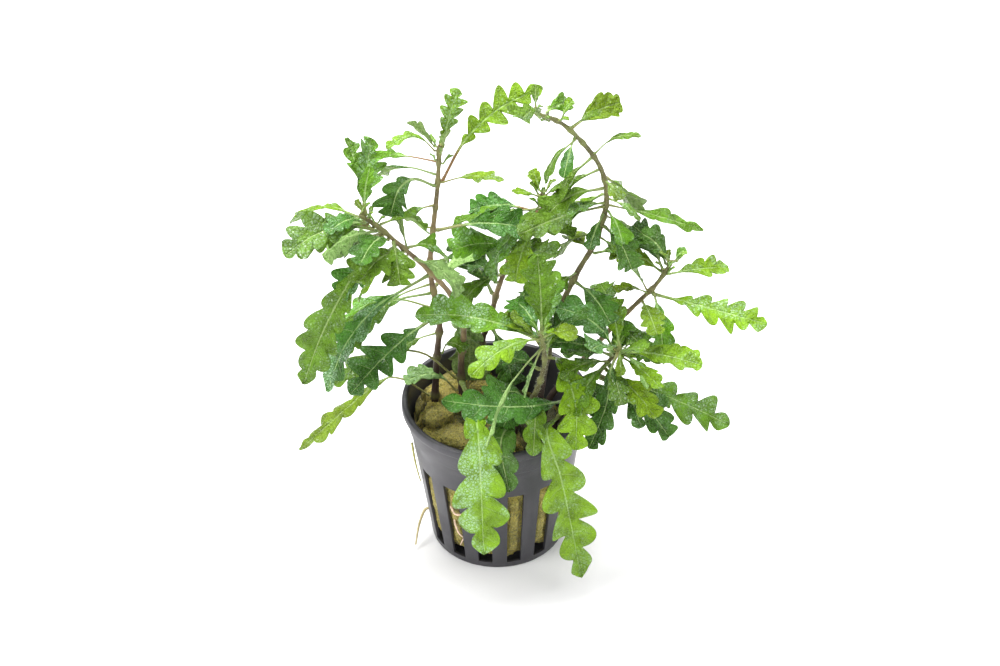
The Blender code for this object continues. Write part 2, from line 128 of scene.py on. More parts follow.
class StemSettings(bpy.types.PropertyGroup):
    """Sizes and colours of the stems and roots"""

    foot_radius: length("Foot radius", "Radius where a stem leaves the wool", 1.25 * MM)
    tip_radius: length("Tip radius", "Radius at a stem's tip", 0.6 * MM)
    swell: share("Node swelling", "How much a stem thickens where leaves join", 0.4)
    hair_length: length("Hair length", "Length of the stem's hairs", 0.9 * MM)
    old_bark: colour("Old bark", "Colour at a stem's foot", (0.035, 0.018, 0.014))
    tan_bark: colour("Tan bark", "Colour of a stem's middle", (0.33, 0.22, 0.12))
    green_bark: colour("Green bark", "Colour of a stem's tip", (0.15, 0.17, 0.05))
    hair: colour("Hair", "Colour of the hairs", (0.55, 0.58, 0.42))
    green_root: colour("Green root", "Colour of the roots outside the wall", (0.42, 0.40, 0.13))
    root: colour("Root", "Colour of the roots", (0.80, 0.58, 0.44))


class LeafSettings(bpy.types.PropertyGroup):
    """Shape and colours of the leaves"""

    thickness: length("Thickness", "Thickness of a blade", 0.32 * MM)
    fold: share("Fold", "How far the edges rise above the midrib, per half width", 0.14)
    sweep: share("Lobe sweep", "How far a lobe leans to the tip, per half width", 0.75)
    pucker: length("Pucker", "Height of the bulges between the side veins", 0.6 * MM)
    ruffle: share("Ruffle", "Height of the waves along the edge, per half width", 0.2)
    young: colour("Young leaf", "Colour of a young blade", (0.185, 0.345, 0.003))
    mid: colour("Grown leaf", "Colour of a grown blade", (0.120, 0.290, 0.005))
    dark: colour("Old leaf", "Colour of an old blade", (0.060, 0.185, 0.012))
    pale: colour("Pale underside", "Colour of a blade's underside", (0.22, 0.38, 0.10))
    vein: colour("Veins", "Colour of the veins", (0.44, 0.62, 0.24))
    # Painted sheen: a pale colour mixed into the blades on their glossy flecks and wet patches, standing in for
    # highlights.
    sheen: colour("Sheen", "Colour of the glossy flecks", (0.30, 0.50, 0.27))
    stalk: colour("Stalks", "Colour of the leaf stalks", (0.26, 0.15, 0.06))


class StageSettings(bpy.types.PropertyGroup):
    """Camera, lights and floor"""

    distance: length("Distance", "From the camera to the plant", 600 * MM)
    lens: FloatProperty(name="Lens", description="Focal length in millimetres", default=75, min=10, max=400)
    pitch: FloatProperty(
        name="Pitch", description="How far the camera looks down", default=math.radians(36.7), subtype="ANGLE"
    )
    roll: FloatProperty(
        name="Roll", description="How far the camera leans", default=math.radians(-1.0), subtype="ANGLE"
    )
    floor: colour("Floor", "Colour of the floor", (0.86, 0.86, 0.87))
    sky: colour("Surroundings", "Colour of the light from all round", (0.97, 0.98, 1.0))


# ---------------------------------------------------------------- how the plant grows

CLEARANCE = 0.3 * MM
WOOL_DEPTH = 6.0 * MM  # of the wool's top below the rim's
SOCKET_DEPTH = 9.0 * MM  # of a stem's foot in the wool
SLOT_TURN = -77.0  # degrees from the x axis to the middle of one slot

# Where each stem is planted, as shares of the wool's radius.
PLANTED = {
    "tall": (-0.74, 0.31),
    "leaning": (-0.41, 0.32),
    "back": (-0.16, 0.75),
    "arching": (0.50, -0.26),
    "right": (0.58, 0.02),
    "low": (0.69, -0.24),
    "front": (0.22, -0.30),
}

# The route of each stem above its foot: millimetres from the pot's axis, and up from the rim's top.
ROUTES = {
    "tall": ((-17, 8, 10), (-16, 8, 21), (-17, 7, 31), (-18, 6, 42), (-17, 6, 53), (-15, 5, 70), (-14, 5, 84)),
    "leaning": (
        (-10, 8, 7),
        (-9, 5, 22),
        (-12, 2, 35),
        (-19, -2, 48),
        (-25, -5, 57),
        (-31, -7, 65),
        (-36, -8, 70),
    ),
    "back": ((-4, 19, 5), (-1, 19, 15), (1, 18, 25), (5, 16, 38), (10, 15, 48), (14, 14, 55), (14, 14, 62)),
    "arching": (
        (13, -5, 3),
        (15, -2, 15),
        (19, 3, 29),
        (24, 7, 39),
        (29, 10, 47),
        (32, 12, 57),
        (32, 12, 65),
        (30, 12, 72),
        (26, 11, 79),
        (21, 9, 86),
        (17, 7, 90),
        (12, 5, 93),
    ),
    "right": ((17, 1, 0), (23, 2, 7), (33, 4, 20), (41, 5, 29), (46, 5, 35), (49, 5, 40), (51, 5, 44)),
    "low": ((19, -6, -2), (24, -7, 5), (31, -8, 16), (36, -9, 24)),
    "front": ((8, -8, 0), (11, -11, 8), (14, -14, 22), (13, -16, 35)),
}

# Knots along each stem that carry no large leaf, as shares of its length.
BARE_KNOTS = {
    "tall": (0.24, 0.33, 0.60, 0.79),
    "leaning": (0.28, 0.52),
    "back": (0.25, 0.35, 0.78),
    "arching": (0.36, 0.45, 0.57, 0.72, 0.84, 0.94),
    "right": (0.40, 0.62),
    "low": (0.60,),
    "front": (0.45, 0.62, 0.8),
}

HAIRY = {"arching": 900, "front": 320, "right": 260, "low": 200, "back": 120, "leaning": 160, "tall": 120}


class Leaf(NamedTuple):
    """A leaf that stands free: its stem, where on it, and how it reaches, bows and sways, in millimetres."""

    name: str
    stem: str
    at: float
    reach: tuple
    bow: float
    width: float
    tone: str
    lobes: int = 4
    depth: float = 0.35  # of the cuts between the lobes
    stalk: float = 0.15  # its share of the length
    roll: float = 0.0  # degrees about the leaf's own line
    sway: float = 0.0


class Trailer(NamedTuple):
    """A leaf that reaches the pot's rim, over points given as (degrees, mm outside the rim, mm above it)."""

    name: str
    stem: str
    at: float
    over: tuple
    width: float
    tone: str
    lobes: int = 5
    depth: float = 0.35
    stalk: float = 0.15
    roll: float = 0.0


def grown(**stems):
    """The leaves of each stem, from rows of a Leaf's values without the stem."""
    return tuple(Leaf(f"{stem}_{name}", stem, *row) for stem, rows in stems.items() for name, *row in rows)


LEAVES = grown(
    tall=(
        ("leaf_upright", 0.97, (5, 8, 15), 1, 8, "young", 5, 0.45, 0.15, 60),
        ("leaf_arched", 0.98, (-13, -5, 4), 4, 5, "young", 4, 0.4, 0.25),
        ("leaf_long", 0.88, (28, 7, 25), 5, 10, "young", 6, 0.55, 0.28, 45),
        ("leaf_level", 0.88, (17, -9, 6), 1.5, 6, "young", 4, 0.4, 0.3),
        ("leaf_far", 0.94, (-24, 16, -10), 2, 6, "mid", 5, 0.4, 0.3, -10),
        ("leaf_twisted", 0.87, (-12, -9, -4), 7, 10, "dark", 4, 0.4, 0.4, -45),
        ("leaf_right", 0.71, (26, 4, -3), 2, 11, "dark", 4, 0.35, 0.3, 25),
        ("leaf_turned", 0.50, (10, 15, 2), 2, 11, "pale", 4, 0.3, 0.2, -15),
        ("leaf_left", 0.49, (-25, -15, -10), 6, 9, "mid", 5, 0.35, 0.25, -10),
        ("leaf_lobed", 0.40, (-24, -22, -11), 2, 14, "dark", 5, 0.5, 0.15, -10),
    ),
    leaning=(
        ("leaf_glossy", 0.67, (-29, -15, -29), 7, 11, "dark", 5, 0.4, 0.2),
        ("leaf_low", 0.17, (-35, -14, 9), 11, 9, "mid", 4, 0.35, 0.45),
        ("leaf_silver", 0.90, (-23, -17, -38), 3, 12, "mid", 6, 0.35, 0.2, -25),
        ("leaf_upright", 0.99, (2, 14, 15), 1, 12, "mid", 5, 0.45, 0.12, 45),
        ("leaf_yellow", 0.99, (-20, 13, -10), 4, 8, "young", 4, 0.4, 0.15, 10),
        ("leaf_large", 0.94, (-23, -14, 1), 4, 12, "mid", 5, 0.4, 0.12, -20),
        ("leaf_pale", 0.92, (-15, -3, -6), 2, 9, "pale", 4, 0.35, 0.15, -20),
        ("leaf_round", 0.81, (-11, -17, 2), 3, 12, "mid"),
        ("leaf_inner", 0.40, (1, 8, -15), 3, 10, "mid", 4, 0.3),
    ),
    back=(
        ("leaf_dark", 0.48, (-11, 10, 12), 2, 12, "dark", 4, 0.35, 0.15, -45),
        ("leaf_light", 0.65, (13, -14, 13), 3, 10, "mid", 5, 0.35, 0.15, 20),
        ("leaf_blue", 0.91, (-19, 3, -1), 2, 9, "dark", 4, 0.35, 0.3, -10),
    ),
    front=(
        ("leaf_upright", 0.99, (-1, 4, 23), 1, 11, "mid", 5, 0.35, 0.1, -10),
        ("leaf_young", 0.97, (-19, -18, 1), 3, 9, "young", 4, 0.4, 0.12, -15),
        ("leaf_round", 0.98, (8, -6, 3), 2, 7, "young", 3, 0.2),
        ("leaf_wide", 0.95, (-34, 4, 6), 3, 12, "mid", 5, 0.3, 0.12, -25),
    ),
    arching=(
        ("leaf_crown", 0.99, (-5, -6, 3), 2, 9, "mid", 4, 0.3, 0.12),
        ("leaf_oval", 0.89, (13, 6, 4), 1, 8, "young", 4, 0.2, 0.15, 55),
        ("leaf_hanging", 0.79, (-9, -1, -20), 3, 9, "mid", 4, 0.35, 0.12),
        ("leaf_left", 0.65, (-24, -18, 3), 1, 9, "mid", 4, 0.35, 0.25, -15),
        ("leaf_right", 0.65, (27, 4, -12), 0.5, 7, "mid", 4, 0.3, 0.2),
        ("leaf_bright", 0.62, (6, 10, -20), 3, 9, "young", 4, 0.3),
    ),
    low=(
        ("leaf_across", 0.45, (-37, -11, 9), 3, 11, "dark", 5, 0.35, 0.15, -30, 7.5),
        ("leaf_left", 0.96, (-17, -1, 16), 3, 10, "dark", 4, 0.35, 0.12, -35),
        ("leaf_top", 0.99, (-2, 12, 7), 1, 9, "young", 3, 0.3, 0.1),
        ("leaf_pale", 0.98, (22, -7, 0), 1, 9, "young", 6, 0.12, 0.12, 20),
        ("leaf_long", 0.72, (37, -6, -14), 1.5, 14, "mid", 5, 0.45, 0.2, 10),
    ),
    right=(
        ("leaf_tip", 0.93, (18, 7, -3), 0.5, 8, "young", 4, 0.35, 0.15, 10),
        ("leaf_dark", 0.94, (-8, 9, 9), 2, 8, "dark", 4, 0.3, 0.15, -40),
        ("leaf_hanging", 0.84, (2, -13, -14), 3, 8, "mid"),
        ("leaf_large", 0.83, (32, -9, -5), 0, 12, "young", 6, 0.45, 0.15, 25),
    ),
)

TRAILERS = (
    Trailer(
        "front_leaf_edge", "front", 0.89,
        ((-69, -5, 27), (-86, -1, 20), (-95, 5, 8)), 6, "pale", 5, 0.3, 0.35, 50,
    ),
    Trailer(
        "arching_leaf_front", "arching", 0.26,
        ((-30, -6, 20), (-43, 3, 13), (-51, 8, 2)), 13, "young", 5, 0.42,
    ),
    Trailer(
        "low_leaf_hanging", "low", 0.96,
        ((-23, 8, 20), (-31, 9, 11), (-40, 7, -2)), 10, "dark", 5, 0.35, 0.12,
    ),
    Trailer(
        "leaning_trailer", "leaning", 0.16,
        ((-103, -3, 10), (-98, 5, -6), (-97, 7, -31)), 16, "young", 5, 0.38, 0.31,
    ),
    Trailer(
        "front_trailer", "front", 0.3,
        ((-87, -1, 5), (-84, 5, -9)), 10, "dark", 4, 0.3, 0.2,
    ),
    Trailer(
        "low_trailer", "low", 0.3,
        ((-60, 1, 6), (-58, 7, -8), (-51, 11, -45)), 15, "young", 6, 0.46, 0.12,
    ),
    Trailer(
        "tall_trailer", "tall", 0.1,
        ((170, 1, 3.4), (176, 8, 2.5), (184, 31, -16)), 8, "young", 6, 0.35, 0.3,
    ),
)

# Leaves too small for solids of their own.
SMALL_LEAVES = grown(
    tall=(
        ("small_light", 0.72, (-9, -3, 6), 1, 4, "young", 3, 0.3, 0.3),
        ("small_bud", 0.99, (-7, 0, 8), 0.5, 5, "young", 3, 0.3, 0.1, 50),
        ("small_side", 0.80, (-7, -4, -2), 1, 4, "mid", 3, 0.3, 0.3),
        ("small_pale", 0.33, (-11, -6, -2), 1, 5, "mid", 3, 0.3, 0.35),
        ("small_knot", 0.60, (4, -3, 3), 0.5, 2.4, "young", 2, 0.3, 0.2),
        ("small_tip", 1.0, (2, -2, 6), 0.5, 3, "young", 3, 0.3, 0.1),
        ("fill_rim", 0.26, (7, -4, 4), 3, 6, "mid", 4, 0.3, 0.3),
        ("fill_left", 0.43, (-26, -3, -2), 5, 8, "mid", 4, 0.35, 0.3),
        ("fill_far", 0.52, (-19, -6, -9), 2, 7, "dark", 4, 0.35, 0.35),
        ("fill_high", 0.90, (-17, 7, -6), 3, 7, "dark", 4, 0.35, 0.35, 20),
    ),
    leaning=(
        ("small_narrow", 0.99, (2, 3, 13), 1, 4, "mid", 4, 0.3, 0.2, 40),
        ("small_white", 0.97, (-10, -6, 2), 1, 6, "pale", 4, 0.3, 0.2),
        ("small_side", 0.84, (-7, -5, -3), 1, 5, "mid", 3, 0.3, 0.25),
        ("small_up", 0.80, (-4, 4, 10), 1, 4, "pale", 3, 0.3, 0.2, 30),
        ("small_knot", 0.52, (-5, -3, 3), 0.5, 3, "young", 2, 0.3, 0.2),
        ("fill_left", 0.96, (-19, -7, -5), 2, 10, "mid", 5, 0.4, 0.12, -15),
        ("fill_under", 0.90, (-12, 6, -11), 1, 11, "pale", 4, 0.3, 0.15, -10),
        ("fill_front", 0.86, (2, -13, -5), 2, 10, "mid", 4, 0.35, 0.12),
        ("fill_low", 0.84, (-15, -9, -10), 2, 10, "dark", 4, 0.35, 0.15, -10),
        ("fill_tip", 0.98, (-9, -10, 3), 2, 7, "dark", 4, 0.35, 0.1),
        ("fill_right", 0.80, (9, 4, -6), 2, 9, "mid", 4, 0.3, 0.15, 10),
        ("fill_yellow", 0.78, (-14, 2, -16), 2, 7, "young", 4, 0.3, 0.4),
        ("fill_mid", 0.76, (12, -7, -7), 2, 10, "pale", 4, 0.3, 0.12),
        ("fill_top", 0.93, (12, 2, -4), 3, 8, "mid"),
        ("fill_side", 0.88, (-7, -15, 2), 3, 9, "dark", 4, 0.35, 0.12),
        ("fill_far", 0.90, (-17, 9, -3), 2, 8, "mid", 4, 0.35, 0.12),
        ("fill_up", 0.98, (-5, 12, 17), 2, 9, "mid", 4, 0.5, 0.2, 45),
        ("fill_rim", 0.12, (-15, -3, 6), 4, 8, "pale", 4, 0.3, 0.3),
        ("fill_inner", 0.34, (0, 5, -20), 2, 13, "dark", 4, 0.15, 0.08),
    ),
    back=(
        ("small_up", 1.0, (-2, 3, 5), 0.5, 4, "young", 3, 0.2, 0.1),
        ("small_left", 0.99, (-7, -4, 4), 0.5, 4, "young", 3, 0.2, 0.2),
        ("small_right", 0.99, (5, -2, 4), 0.5, 4, "mid", 3, 0.2, 0.2),
        ("small_down", 0.95, (-5, -5, -3), 0.5, 4, "mid", 3, 0.2, 0.2),
        ("small_back", 0.78, (6, 6, 2), 0.5, 5, "mid", 3, 0.3, 0.2),
        ("fill_inner", 0.34, (6, -9, -15), 2, 12, "dark", 4, 0.3, 0.1),
        ("fill_deep", 0.38, (14, 2, -13), 2, 12, "dark", 4, 0.3, 0.1),
        ("fill_wide", 0.72, (-17, -6, 4), 2, 13, "mid", 4, 0.3, 0.12, -10),
        ("fill_long", 0.90, (-14, -5, -17), 3, 12, "mid", 4, 0.3, 0.12),
        ("fill_front", 0.84, (-5, -13, -9), 2, 10, "young", 4, 0.35, 0.12),
        ("fill_under", 0.60, (-13, -9, -6), 2, 9, "mid"),
        ("fill_right", 0.80, (13, -3, 3), 2, 8, "mid", 4, 0.35, 0.15, 10),
        ("fill_behind", 0.70, (-4, 12, 4), 2, 10, "dark"),
        ("fill_level", 0.93, (-24, -2, -3), 1, 8, "mid", 4, 0.3, 0.25),
        ("fill_low", 0.55, (-8, -3, 8), 2, 12, "dark", 4, 0.35, 0.1),
    ),
    front=(
        ("small_behind", 0.93, (3, 10, 16), 1, 8, "mid", 4, 0.3),
        ("small_lobes", 0.9, (-8, 2, 9), 1, 6, "young", 3, 0.35, 0.25),
        ("small_bud", 1.0, (2, -3, 3), 0.5, 3, "young", 2, 0.2, 0.1),
        ("small_edge", 0.9, (-5, -12, -8), 1.5, 4, "pale", 5, 0.3, 0.3, 60),
        ("fill_root", 0.45, (-12, -3, 4), 2, 10, "dark"),
        ("fill_under", 0.4, (-8, -11, -1), 3, 10, "dark", 4, 0.3),
        ("fill_far", 0.96, (-7, 10, 5), 2, 10, "dark", 4, 0.35, 0.1),
        ("fill_right", 0.90, (11, 7, 7), 2, 10, "dark", 4, 0.35, 0.1),
        ("fill_left", 0.93, (-12, 3, 5), 2, 7, "young"),
        ("fill_back", 0.80, (4, 13, 2), 2, 9, "mid", 4, 0.3),
    ),
    arching=(
        ("small_tip", 1.0, (0, 3, 6), 0.5, 2.5, "mid", 3, 0.2, 0.2),
        ("small_up", 0.93, (3, 1, 5), 0.5, 4, "young", 2, 0.2, 0.2),
        ("small_right", 0.90, (8, -4, 7), 0.5, 4, "mid", 3, 0.2, 0.3),
        ("small_down", 0.87, (-3, -9, -7), 1, 4, "dark", 3, 0.2, 0.2),
        ("small_bow", 0.80, (12, -5, 8), 2, 4, "mid", 4, 0.2, 0.3),
        ("small_side", 0.67, (8, -5, -4), 1, 4, "mid", 3, 0.3, 0.2),
        ("small_dark", 0.63, (-4, -7, -7), 1, 5, "dark", 3, 0.3, 0.2),
        ("small_bright", 0.53, (-5, 10, -3), 1, 7, "young", 3, 0.3, 0.2),
        ("small_pale", 0.47, (-8, -12, 0), 1, 6, "mid", 4, 0.3, 0.2),
        ("small_knot", 0.57, (4, -3, -3), 0.5, 3, "young", 2, 0.2, 0.2),
        ("small_inner", 0.36, (-9, -7, 12), 1, 8, "dark"),
        ("small_inside", 0.40, (3, -12, 2), 1, 8, "dark"),
        ("small_hang", 0.10, (-2, -23, 5), 8, 7, "mid", 4, 0.3, 0.3),
        ("fill_root", 0.22, (-13, 3, 1), 2, 11, "dark", 4, 0.3, 0.1),
        ("fill_left", 0.70, (-17, -5, -8), 3, 10, "mid", 4, 0.35, 0.15, -10),
        ("fill_front", 0.60, (7, -11, -7), 2, 10, "dark"),
        ("fill_behind", 0.57, (-9, 6, -11), 2, 10, "young", 4, 0.3),
        ("fill_hang", 0.75, (-11, 3, -15), 2, 9, "mid"),
        ("fill_right", 0.53, (13, 3, -5), 2, 9, "mid", 4, 0.35, 0.15, 10),
        ("fill_low", 0.45, (9, -12, -6), 2, 10, "dark", 4, 0.4),
        ("fill_deep", 0.40, (-12, 5, -4), 2, 9, "mid", 4, 0.3),
        ("fill_crown", 0.97, (7, 6, -1), 1, 6, "mid", 3, 0.25, 0.1, 40),
        ("fill_high", 0.86, (-8, -3, -12), 2, 4, "mid", 3, 0.25),
        ("fill_green", 0.72, (8, 6, -15), 1, 11, "mid", 3, 0.2, 0.1),
        ("fill_inner", 0.68, (-9, 2, -11), 1, 9, "young", 3, 0.3, 0.1),
        ("fill_side", 0.66, (-12, -8, 1), 1, 8, "mid", 4, 0.35, 0.1),
        ("fill_knot", 0.72, (3, -5, -3), 1, 5, "young", 2, 0.2, 0.05),
        ("fill_bend", 0.64, (4, -8, -9), 2, 7, "mid", 3, 0.3, 0.1),
    ),
    low=(
        ("small_left", 0.93, (-14, -7, 5), 1, 6, "dark", 4, 0.35, 0.2),
        ("small_yellow", 0.95, (11, -13, -2), 1, 7, "young", 4, 0.3, 0.2),
        ("small_folded", 0.98, (0, -7, -3), 1, 5, "young", 3, 0.2, 0.1, 60),
        ("small_silver", 0.97, (7, -9, -6), 3, 3, "pale", 4, 0.2, 0.2, 50),
        ("small_back", 0.9, (4, 9, 5), 1, 7, "mid", 4, 0.35, 0.2),
        ("small_under", 0.85, (8, -14, -12), 2, 7, "dark", 4, 0.35, 0.2),
        ("fill_left", 0.90, (-19, 4, 1), 2, 9, "dark", 4, 0.35, 0.1),
        ("fill_under", 0.86, (-13, -8, 0), 2, 8, "mid", 4, 0.35, 0.1),
        ("fill_side", 0.92, (13, 3, -4), 1, 8, "young", 4, 0.3, 0.1),
        ("fill_down", 0.84, (3, -13, -4), 2, 7, "mid", 4, 0.35, 0.1),
        ("fill_up", 0.93, (-7, -11, 10), 2, 9, "dark", 4, 0.35, 0.12),
        ("fill_front", 0.86, (-11, -13, -8), 2, 9, "mid"),
        ("fill_right", 0.95, (7, -8, 8), 1, 8, "mid", 4, 0.3),
        ("fill_bright", 0.80, (13, -16, -5), 2, 10, "young", 4, 0.35, 0.2),
        ("fill_glossy", 0.72, (19, -14, -11), 3, 12, "dark", 4, 0.35, 0.2),
        ("fill_back", 0.80, (10, 12, 3), 2, 9, "mid"),
    ),
    right=(
        ("small_under", 0.83, (-8, -3, 12), 1, 7, "mid", 3, 0.3, 0.2),
        ("small_left", 0.82, (-9, -5, 4), 1, 6, "young", 4, 0.35, 0.2),
        ("small_tip", 1.0, (-3, -2, 4), 0.5, 3, "young", 2, 0.2, 0.1),
        ("small_bud", 1.0, (3, 1, 3), 0.5, 3, "mid", 2, 0.2, 0.1),
        ("fill_root", 0.3, (8, -8, 2), 2, 9, "dark"),
        ("fill_tip", 0.97, (-7, 4, 8), 2, 8, "dark", 4, 0.25, 0.08, -30),
        ("fill_left", 0.93, (-14, 6, 2), 2, 8, "young", 4, 0.3, 0.1, -20),
        ("fill_low", 0.78, (3, -16, 0), 1, 8, "young", 4, 0.35, 0.1),
        ("fill_front", 0.62, (9, -12, -3), 2, 9, "mid"),
        ("fill_back", 0.62, (-3, 14, 3), 2, 9, "mid"),
    ),
)

# How steeply the buds at a stem's tip rise, as a share of their size.
BUD_RISE = {"tall": 0.9, "leaning": 0.7, "back": 0.8, "arching": 0.15, "right": 0.8, "low": 0.5, "front": 0.7}

TURNED_OVER = (
    "tall_leaf_turned",
    "leaning_leaf_pale",
    "front_leaf_edge",
    "leaning_small_white",
    "low_small_silver",
)
SHADES = {"leaning_trailer": 0.9, "low_trailer": 0.5, "arching_leaf_front": 0.5, "leaning_leaf_glossy": 0.8}
# How wet each leaf looks: it raises the coat and the painted sheen on its wet patches.
WET_AND_PAINTED_SHEEN = {"leaning_trailer": 1.0, "leaning_leaf_glossy": 1.0, "leaning_leaf_large": 0.5, "front_leaf_wide": 0.8}
RED_STALKS = ("tall_leaf_upright", "tall_leaf_long", "back_leaf_blue", "tall_leaf_far")


class Route:
    """A smooth curve through a few points, read by share of its length."""

    STEPS = 24  # between two points

    def __init__(self, points):
        ends = [2 * points[0] - points[1], *points, 2 * points[-1] - points[-2]]
        line = [points[0]]
        for a, b, c, d in zip(ends, ends[1:], ends[2:], ends[3:]):
            for step in range(1, self.STEPS + 1):
                t = step / self.STEPS
                even = 2 * b + (c - a) * t
                curved = (2 * a - 5 * b + 4 * c - d) * t**2 + (3 * b - a - 3 * c + d) * t**3
                line.append((even + curved) / 2)
        self.line = np.array(line, float)
        steps = np.linalg.norm(np.diff(self.line, axis=0), axis=1)
        self.run = np.concatenate([[0.0], np.cumsum(steps)])

    @property
    def length(self):
        return self.run[-1]

    def points(self, shares):
        goals = np.clip(shares, 0, 1) * self.length
        return np.stack([np.interp(goals, self.run, column) for column in self.line.T], axis=-1)

    def tangents(self, shares, step=0.02):
        shares = np.asarray(shares, float)
        ahead = self.points(shares + step) - self.points(shares - step)
        return ahead / np.linalg.norm(ahead, axis=-1, keepdims=True)


def wall_radius(height):
    """Outside radius of the pot's wall below the collar, at a height above the ground."""
    pot = bpy.context.scene.hygrophila_pot
    top = pot.rim_radius - pot.rim_lip - pot.collar_step
    return pot.base_radius + (top - pot.base_radius) * height / POT_TOP


def wool_radius():
    return wall_radius(POT_TOP - WOOL_DEPTH) - bpy.context.scene.hygrophila_pot.wall - CLEARANCE


def stem_radius(at):
    """Thick at the foot, thin at the tip."""
    stems = bpy.context.scene.hygrophila_stems
    return stems.foot_radius + (stems.tip_radius - stems.foot_radius) * np.clip(at, 0, 1) ** 0.8


def stem_route(name):
    x, y = PLANTED[name]
    top = POT_TOP - WOOL_DEPTH
    foot = Vector((x * wool_radius(), y * wool_radius(), top - SOCKET_DEPTH))
    collar = Vector((foot.x, foot.y, top - 1 * MM))
    rim = Vector((0, 0, POT_TOP))
    return Route([foot, collar, *(rim + MM * Vector(point) for point in ROUTES[name])])


def leaf_start(route, at, toward):
    """The point on the stem's axis where a leaf starts, and the one beside it on the side it grows to."""
    centre = Vector(route.points(at))
    along = Vector(route.tangents(at))
    outward = toward - centre
    outward = (outward - outward.dot(along) * along).normalized()
    return centre, centre + outward * (float(stem_radius(at)) + 2 * CLEARANCE)


def free_leaf_points(leaf, route):
    """The route of a free leaf: its foot, two points along it and its tip."""
    reach = MM * Vector(leaf.reach)
    centre, foot = leaf_start(route, leaf.at, Vector(route.points(leaf.at)) + reach)
    side = Vector((-reach.y, reach.x, 0)).normalized()
    rise = reach.cross(side).normalized()
    bend = 8 / 9 * MM * (leaf.bow * rise + leaf.sway * side)
    return centre, [foot, foot + reach / 3 + bend, foot + reach * 2 / 3 + bend, foot + reach]


def trailer_points(trailer, route):
    """The route of a leaf over the rim."""
    points = []
    rim = bpy.context.scene.hygrophila_pot.rim_radius
    for degrees, out, up in trailer.over:
        turn = math.radians(degrees)
        radius = rim + out * MM
        points.append(Vector((radius * math.cos(turn), radius * math.sin(turn), POT_TOP + up * MM)))
    centre, foot = leaf_start(route, trailer.at, points[0])
    return centre, [foot, *points]


# ---------------------------------------------------------------- mesh helpers


def new_object(name, data):
    thing = bpy.data.objects.new(name, data)
    bpy.context.scene.collection.objects.link(thing)
    return thing


def fill_mesh(mesh, builder):
    builder.to_mesh(mesh)
    builder.free()


def smooth_piece(name, mesh, material, slot, replaced):
    """A piece that rides on the plant and stands for the solids it replaces."""
    mesh.polygons.foreach_set("use_smooth", [True] * len(mesh.polygons))
    mesh.materials.append(material)
    piece = new_object(name, mesh)
    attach(piece, "root")
    if replaced:
        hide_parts(*replaced)
    return piece


def add_piece(name, verts, faces, material, slot, replaced=(), values=None):
    """Makes a piece from its points and faces, with values stored on its points for the materials."""
    mesh = bpy.data.meshes.new(name)
    mesh.from_pydata([tuple(v) for v in verts], [], [tuple(f) for f in faces])
    mesh.validate()
    for key, numbers in (values or {}).items():
        numbers = np.asarray(numbers, np.float32)
        kind, field = ("FLOAT_VECTOR", "vector") if numbers.ndim == 2 else ("FLOAT", "value")
        mesh.attributes.new(key, kind, "POINT").data.foreach_set(field, numbers.ravel())
    builder = bmesh.new()
    builder.from_mesh(mesh)
    bmesh.ops.recalc_face_normals(builder, faces=builder.faces)
    fill_mesh(mesh, builder)
    return smooth_piece(name, mesh, material, slot, replaced)


def check_place(piece, node):
    """Stops the script if a fine piece and its solid have come apart."""
    low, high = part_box(node)
    corners = np.array([v.co for v in piece.data.vertices])
    middle = Vector((corners.min(0) + corners.max(0)) / 2)
    gap = (middle - (low + high) / 2).length
    if gap > PLACE_SLACK:
        raise RuntimeError(f"{piece.name} lies {gap / MM:.1f} mm from its solid {node}")


def ring_faces(rings, around, start=0, closed=True):
    """Quads of a tube whose points are numbered ring by ring, with both ends capped."""
    faces = []
    for i in range(rings - 1):
        for k in range(around):
            j = (k + 1) % around
            low = start + i * around
            faces.append((low + k, low + j, low + around + j, low + around + k))
    if closed:
        last = start + (rings - 1) * around
        faces.append(tuple(start + k for k in reversed(range(around))))
        faces.append(tuple(last + k for k in range(around)))
    return faces


def tube_points(centres, tangents, radii, around):
    """Round sections square to a line, kept from turning about it."""
    points = []
    side = np.array((1.0, 0.0, 0.0))
    turns = np.arange(around) * math.tau / around
    for centre, along, radius in zip(centres, tangents, radii):
        side = side - side.dot(along) * along
        if np.linalg.norm(side) < 0.001:
            side = np.cross(along, (0.0, 1.0, 0.0))
        side = side / np.linalg.norm(side)
        other = np.cross(along, side)
        points.extend(centre + radius * (math.cos(t) * side + math.sin(t) * other) for t in turns)
    return points


def ease(low, high, value):
    """A smooth step from 0 at low to 1 at high."""
    part = np.clip((value - low) / (high - low), 0, 1)
    return part * part * (3 - 2 * part)


# ---------------------------------------------------------------- leaf shape

# Where the points of a blade lie, as shares of its half width.
ACROSS = (0.06, 0.14, 0.24, 0.35, 0.46, 0.57, 0.68, 0.79, 0.89, 0.965, 1.0)
PER_LOBE = 14  # rings along one lobe
STALK_RINGS = 7
THINNEST_STALK = 0.3 * MM
GROOVE_DEPTH, GROOVE_WIDTH = 0.05 * MM, 0.35 * MM  # over the midrib
RIB_WIDTH = 0.4 * MM  # of the midrib underneath
SWELL_LENGTH = 1.2 * MM  # of the thicker foot of a stalk
UNDERSIDE_SHIFT = 40  # keeps the pattern of the two sides apart


def fingers(depth):
    """How far the lobes stand apart, 0 for a wavy edge and 1 for fingers."""
    return float(ease(0.34, 0.5, depth))


